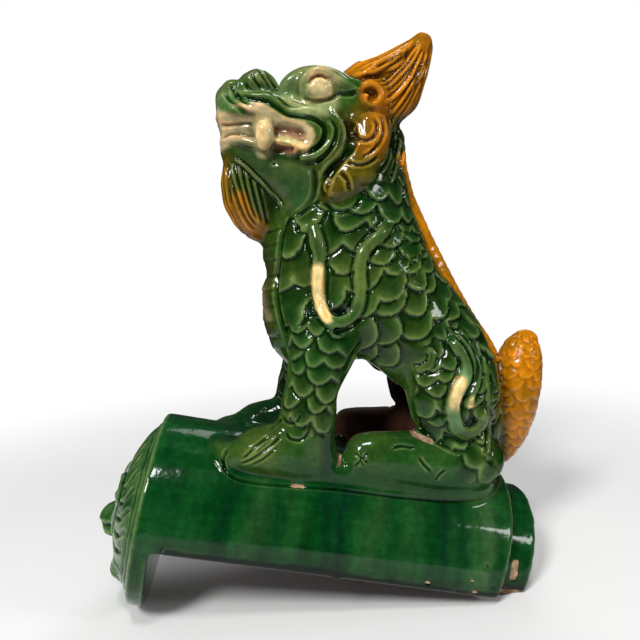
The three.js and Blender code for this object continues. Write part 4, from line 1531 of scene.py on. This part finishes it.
@dataclass(frozen=True)
class LeadGlaze:
    """The finish: thick glossy lead glaze, dark in hollows and pale over edges, and bare rough clay.

    The dark is glaze pooling with painted shade; the pale is thin glaze with painted highlight.
    """

    gloss: float = 0.1
    index: float = 1.5
    shine: float = 0.28
    clay_roughness: float = 0.85
    ripple: float = 0.3
    ripple_height: float = 0.0008
    runs: tuple[tuple[float, float, float], ...] = (
        (-8, 0, 0), (0, 0, 0), (14, 0.35, 0), (30, 0.1, 0), (46, 0.15, 0), (54, 0.5, 0), (62, 0.05, 0),
                                                    (74, 0, 0.3), (88, 0.3, 0),
        (96, 0, 0.15), (112, 0.05, 0), (119, 0.8, 0), (124, 0.5, 0), (130, 1.0, 0), (136, 0.3, 0),
                                                    (143, 0.05, 0.1), (153, 0, 0.35),
        (162, 0.2, 0), (176, 0, 0.2), (192, 0.15, 0), (202, 0.85, 0), (207, 0.3, 0.1), (213, 0.6, 0),
                                                    (219, 0, 0.3), (229, 0, 0.9),
        (238, 0.1, 0.1), (250, 0.15, 0.1), (266, 0.3, 0))

    def tiled(self, nodes: Nodes, tint: object) -> tuple[bpy.types.NodeSocket, bpy.types.NodeSocket]:
        """The tile's glaze, drawn down the barrel in runs, and darker towards its lower edge as painted
        shade.

        Args:
            nodes: the material's nodes.
            tint: the glaze colour on the mesh.

        Returns:
            The colour, and how much painted shade darkens the lower edge.
        """
        place = nodes.add("ShaderNodeAttribute", attribute_name="place").outputs["Vector"]
        split = nodes.add("ShaderNodeSeparateXYZ")
        nodes.link(place, split.inputs[0])
        drift = nodes.math("MULTIPLY", nodes.math("SUBTRACT", nodes.noise(22, 3, 0.6), 0.5), 0.028)
        along = nodes.math("ADD", split.outputs["X"], drift)
        low, high = self.runs[0][0] * MM, self.runs[-1][0] * MM
        bands = nodes.add("ShaderNodeValToRGB")
        nodes.link(nodes.math("DIVIDE", nodes.math("SUBTRACT", along, low), high - low), bands.inputs["Fac"])
        ramp = bands.color_ramp
        ramp.interpolation = "EASE"
        for index, (x, _dark, _light) in enumerate(self.runs):
            position = (x * MM - low) / (high - low)
            stop = ramp.elements[index] if index < 2 else ramp.elements.new(position)
            stop.position = position
        for stop, (_x, dark, light) in zip(sorted(ramp.elements, key=lambda one: one.position), self.runs):
            stop.color = (dark, light, 0, 1)
        parts = nodes.add("ShaderNodeSeparateColor")
        nodes.link(bands.outputs["Color"], parts.inputs[0])
        down = nodes.noise(80, 4, 0.62, (1.0, 0.5, 0.1), place)
        around = nodes.noise(150, 3, 0.6, (0.1, 1.0, 1.0), place)
        cloud = nodes.noise(17, 4, 0.55)
        colour = tint
        for veil, dim, clear in (
            (down, (0.2, 0.66, 0.6), (1.9, 1.2, 1.5)),
            (around, (0.6, 0.86, 0.8), (1.6, 1.14, 1.3)),
            (cloud, (0.2, 0.75, 0.7), (2.2, 1.2, 1.6)),
        ):
            streaks = nodes.mix(nodes.ramp(veil, 0.3, 0.7), dim, clear)
            colour = nodes.mix(1.0, colour, streaks, "MULTIPLY")
        colour = nodes.mix(nodes.math("MULTIPLY", parts.outputs["Green"], 0.6), colour, Glaze.PALE_RUN.value)
        colour = nodes.mix(nodes.math("MULTIPLY", parts.outputs["Red"], 0.92), colour, Glaze.TEAL.value)
        # Painted shade: the barrel darkens towards its lower edge, near black in a thin band at the edge.
        sway = nodes.math("MULTIPLY", nodes.math("SUBTRACT", cloud, 0.5), 0.012)
        edge = nodes.math("ADD", split.outputs["Z"], sway)
        dark_band = nodes.math("SUBTRACT", 1.0, nodes.ramp(edge, 0.0018, 0.0050))
        soft = nodes.math("MULTIPLY", nodes.math("SUBTRACT", 1.0, nodes.ramp(edge, 0.0, 0.016)), 0.5)
        behind = nodes.ramp(split.outputs["X"], 0.012, 0.020)
        inside = nodes.math("MULTIPLY", nodes.math("MAXIMUM", dark_band, soft), behind)
        return nodes.mix(nodes.math("MULTIPLY", inside, 0.95), colour, Glaze.EDGE_POOL.value), inside

    def material(self) -> bpy.types.Material:
        """Builds the material.

        Returns:
            The finished glaze, with its runs, dark hollows (glaze pooling with painted shade), pale edges
            (thin glaze with painted highlight) and bare clay.
        """
        nodes = Nodes("lead_glaze")
        shader = nodes.add("ShaderNodeBsdfPrincipled")
        output = nodes.add("ShaderNodeOutputMaterial")
        nodes.link(shader.outputs[0], output.inputs[0])
        tint = nodes.add("ShaderNodeAttribute", attribute_name="glaze").outputs["Color"]
        parts = nodes.add("ShaderNodeSeparateColor")
        nodes.link(tint, parts.inputs[0])
        warmth = nodes.ramp(nodes.math("SUBTRACT", parts.outputs["Red"], parts.outputs["Green"]), -0.02, 0.05)
        mottle = nodes.noise(34, 5, 0.6)
        fine = nodes.noise(210, 4, 0.6)
        tile = nodes.attribute("tile")
        shade = nodes.mix(nodes.ramp(mottle, 0.3, 0.72), (0.62, 0.68, 0.7), (1.5, 1.28, 1.2))
        colour = nodes.mix(0.85, tint, shade, "MULTIPLY")
        drifted = nodes.mix(nodes.ramp(nodes.noise(15, 4, 0.6), 0.36, 0.64), (0.36, 0.8, 0.72),
                            (1.35, 1.06, 0.95))
        colour = nodes.mix(nodes.math("SUBTRACT", 1.0, warmth), colour,
                           nodes.mix(1.0, colour, drifted, "MULTIPLY"))
        tiled, edge = self.tiled(nodes, tint)
        colour = nodes.mix(tile, colour, tiled)
        speckle = nodes.mix(nodes.ramp(fine, 0.4, 0.62), (0.84, 0.86, 0.82), (1.12, 1.1, 1.1))
        colour = nodes.mix(1.0, colour, speckle, "MULTIPLY")
        worn = nodes.math("MULTIPLY", nodes.attribute("worn"),
                          nodes.ramp(nodes.noise(60, 5, 0.65), 0.3, 0.62))
        colour = nodes.mix(nodes.math("MULTIPLY", worn, 0.7), colour, Glaze.WORN_GREEN.value)
        # Painted shade with glaze pooling: hollows and the feet of scales and ribbons are darkened.
        hollow = nodes.attribute("hollow")
        wide = nodes.math("MULTIPLY", nodes.ramp(nodes.attribute("hollow_wide"), 0.05, 0.9), 0.8)
        pooled_and_shaded = nodes.math("MAXIMUM", nodes.ramp(hollow, 0.03, 0.3), wide)
        pooled_and_shaded = nodes.math("MAXIMUM", pooled_and_shaded, nodes.attribute("shade"), True)
        kept = nodes.mix(warmth, (0.05, 0.2, 0.06), (0.34, 0.26, 0.18))
        kept = nodes.mix(nodes.ramp(parts.outputs["Blue"], 0.04, 0.14), kept, (0.52, 0.42, 0.34))
        dark = nodes.mix(1.0, colour, kept, "MULTIPLY")
        colour = nodes.mix(nodes.math("MULTIPLY", pooled_and_shaded, 0.92), colour, dark)
        # Painted highlight with thin glaze: bulges and the rims of scales and ribbons are paled, except where
        # darkened.
        thin = nodes.math("MULTIPLY", nodes.ramp(hollow, -0.04, -0.3), 0.6)
        thin = nodes.math("MAXIMUM", thin, nodes.math("MULTIPLY", nodes.attribute("rim"), 0.85), True)
        covered = nodes.math("MAXIMUM", pooled_and_shaded, nodes.math("MULTIPLY", edge, tile))
        thin = nodes.math("MULTIPLY", thin, nodes.math("SUBTRACT", 1.0, covered))
        pale = nodes.mix(0.45, nodes.mix(1.0, colour, (3.2, 2.3, 2.6), "MULTIPLY"),
                         nodes.mix(warmth, (0.22, 0.27, 0.10), (0.60, 0.33, 0.02)))
        colour = nodes.mix(thin, colour, pale)
        bare = nodes.attribute("bare")
        frayed = nodes.math("MULTIPLY", nodes.math("SUBTRACT", fine, 0.5), 0.5)
        ragged = nodes.ramp(nodes.math("ADD", bare, frayed), 0.42, 0.58)
        clay = nodes.mix(nodes.ramp(nodes.noise(160, 4, 0.6), 0.3, 0.7), (0.13, 0.065, 0.036),
                         (0.50, 0.33, 0.20))
        # Painted shade: the clay in the hollows is made near black to dark brown.
        shaded_clay = nodes.mix(nodes.ramp(mottle, 0.3, 0.7), (0.018, 0.006, 0.003), (0.085, 0.030, 0.014))
        clay = nodes.mix(nodes.attribute("interior_shade"), clay, shaded_clay)
        colour = nodes.mix(ragged, colour, clay)
        nodes.link(colour, shader.inputs["Base Color"])
        rough = nodes.add("ShaderNodeMapRange")
        nodes.link(ragged, rough.inputs["Value"])
        rough.inputs["To Min"].default_value = self.gloss
        rough.inputs["To Max"].default_value = self.clay_roughness
        nodes.link(rough.outputs["Result"], shader.inputs["Roughness"])
        shader.inputs["IOR"].default_value = self.index
        shader.inputs["Specular IOR Level"].default_value = self.shine
        bump = nodes.add("ShaderNodeBump")
        bump.inputs["Strength"].default_value = self.ripple
        bump.inputs["Distance"].default_value = self.ripple_height
        grain = nodes.math("MULTIPLY", nodes.math("MULTIPLY", fine, ragged), 2.0)
        nodes.link(nodes.math("ADD", nodes.noise(95, 3, 0.5), grain), bump.inputs["Height"])
        nodes.link(bump.outputs["Normal"], shader.inputs["Normal"])
        return nodes.material


# ---------------------------------------------------------------------------------------------------------
# Studio


@dataclass(frozen=True)
class Studio:
    """Floor, light and camera. Each lamp is its name, place, size and power."""

    camera_place: tuple[float, float, float] = (-0.0418, -0.4148, 0.2365)
    camera_right: tuple[float, float, float] = (0.9931, -0.1056, -0.0511)
    camera_up: tuple[float, float, float] = (0.0616, 0.0986, 0.9932)
    lens: float = 32.54
    floor_half: float = 4.0
    aim: tuple[float, float, float] = (0, 0, 0.17)
    lamps: tuple[tuple[str, tuple[float, float, float], float, float], ...] = (
        ("key", (-0.75, -1.05, 1.25), 0.36, 21.0),
        ("fill", (1.3, -0.9, 0.8), 0.3, 5.0),
        ("back", (0.5, 1.2, 1.4), 0.8, 6.0),
        ("small", (-0.1, -0.9, 1.7), 0.25, 9.0),
    )
    room_light: float = 0.27
    room_mirrored: float = 0.05

    def build(self) -> None:
        """Puts up the floor, the lights and the camera."""
        self.floor()
        self.lights()
        self.room()
        self.camera()

    def floor(self) -> None:
        """A plain pale floor that fades out away from the piece."""
        bpy.ops.object.select_all(action="DESELECT")
        bpy.ops.mesh.primitive_plane_add(size=2 * self.floor_half, location=(0, 0, 0))
        floor = bpy.context.object
        floor.name = "floor"
        nodes = Nodes("pale_floor")
        shader = nodes.add("ShaderNodeBsdfPrincipled")
        shader.inputs["Base Color"].default_value = (0.86, 0.86, 0.85, 1)
        shader.inputs["Roughness"].default_value = 0.7
        reach = nodes.add("ShaderNodeVectorMath", operation="LENGTH")
        nodes.link(nodes.add("ShaderNodeTexCoord").outputs["Object"], reach.inputs[0])
        clear = nodes.add("ShaderNodeBsdfTransparent")
        blend = nodes.add("ShaderNodeMixShader")
        nodes.link(nodes.ramp(reach.outputs["Value"], 0.28, 0.75), blend.inputs[0])
        nodes.link(shader.outputs[0], blend.inputs[1])
        nodes.link(clear.outputs[0], blend.inputs[2])
        output = nodes.add("ShaderNodeOutputMaterial")
        nodes.link(blend.outputs[0], output.inputs[0])
        floor.data.materials.append(nodes.material)

    def lights(self) -> None:
        """A soft key from the upper left, a small one above it, a fill from the right and a back light."""
        for name, place, size, power in self.lamps:
            lamp = bpy.data.lights.new(name, "AREA")
            lamp.shape = "SQUARE"
            lamp.size = size
            lamp.energy = power
            thing = bpy.data.objects.new(name, lamp)
            bpy.context.collection.objects.link(thing)
            aim = Vector(self.aim) - Vector(place)
            thing.matrix_world = Matrix.Translation(place) @ aim.to_track_quat("-Z", "Y").to_matrix().to_4x4()

    def room(self) -> None:
        """An even pale room: white behind the piece, dimmer as light and dimmest in reflections."""
        world = bpy.data.worlds.new("room")
        world.use_nodes = True
        tree = world.node_tree
        room = tree.nodes["Background"]
        room.inputs["Color"].default_value = (0.97, 0.98, 1.0, 1)
        room.inputs["Strength"].default_value = self.room_light
        dim = tree.nodes.new("ShaderNodeBackground")
        dim.inputs["Strength"].default_value = self.room_mirrored
        backdrop = tree.nodes.new("ShaderNodeBackground")
        backdrop.inputs["Color"].default_value = (1.0, 1.0, 1.0, 1)
        seen = tree.nodes.new("ShaderNodeLightPath")
        gloss = tree.nodes.new("ShaderNodeMixShader")
        tree.links.new(seen.outputs["Is Glossy Ray"], gloss.inputs[0])
        tree.links.new(room.outputs[0], gloss.inputs[1])
        tree.links.new(dim.outputs[0], gloss.inputs[2])
        choice = tree.nodes.new("ShaderNodeMixShader")
        tree.links.new(seen.outputs["Is Camera Ray"], choice.inputs[0])
        tree.links.new(gloss.outputs[0], choice.inputs[1])
        tree.links.new(backdrop.outputs[0], choice.inputs[2])
        tree.links.new(choice.outputs[0], tree.nodes["World Output"].inputs[0])
        bpy.context.scene.world = world
        bpy.context.scene.view_settings.view_transform = "Standard"

    def camera(self) -> None:
        """The camera, a little left of square on and slightly above, held a few degrees off level."""
        right, up = Vector(self.camera_right).normalized(), Vector(self.camera_up)
        back = right.cross(up).normalized()
        up = back.cross(right)
        turn = Matrix((right, up, back)).transposed().to_4x4()
        data = bpy.data.cameras.new("camera")
        data.lens = self.lens
        data.sensor_width = 36
        data.clip_start = 0.01
        thing = bpy.data.objects.new("camera", data)
        bpy.context.collection.objects.link(thing)
        thing.matrix_world = Matrix.Translation(self.camera_place) @ turn
        bpy.context.scene.camera = thing


def main() -> None:
    """Builds the piece and its studio."""
    logging.basicConfig(level=logging.INFO, format="%(name)s: %(message)s")
    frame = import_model()
    Studio().build()
    piece = RidgeBeast().build(frame["nodes"][NODE])
    piece.data.materials.clear()
    piece.data.materials.append(LeadGlaze().material())
    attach(piece, "root")
    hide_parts(NODE)


if __name__ == "__main__":
    main()
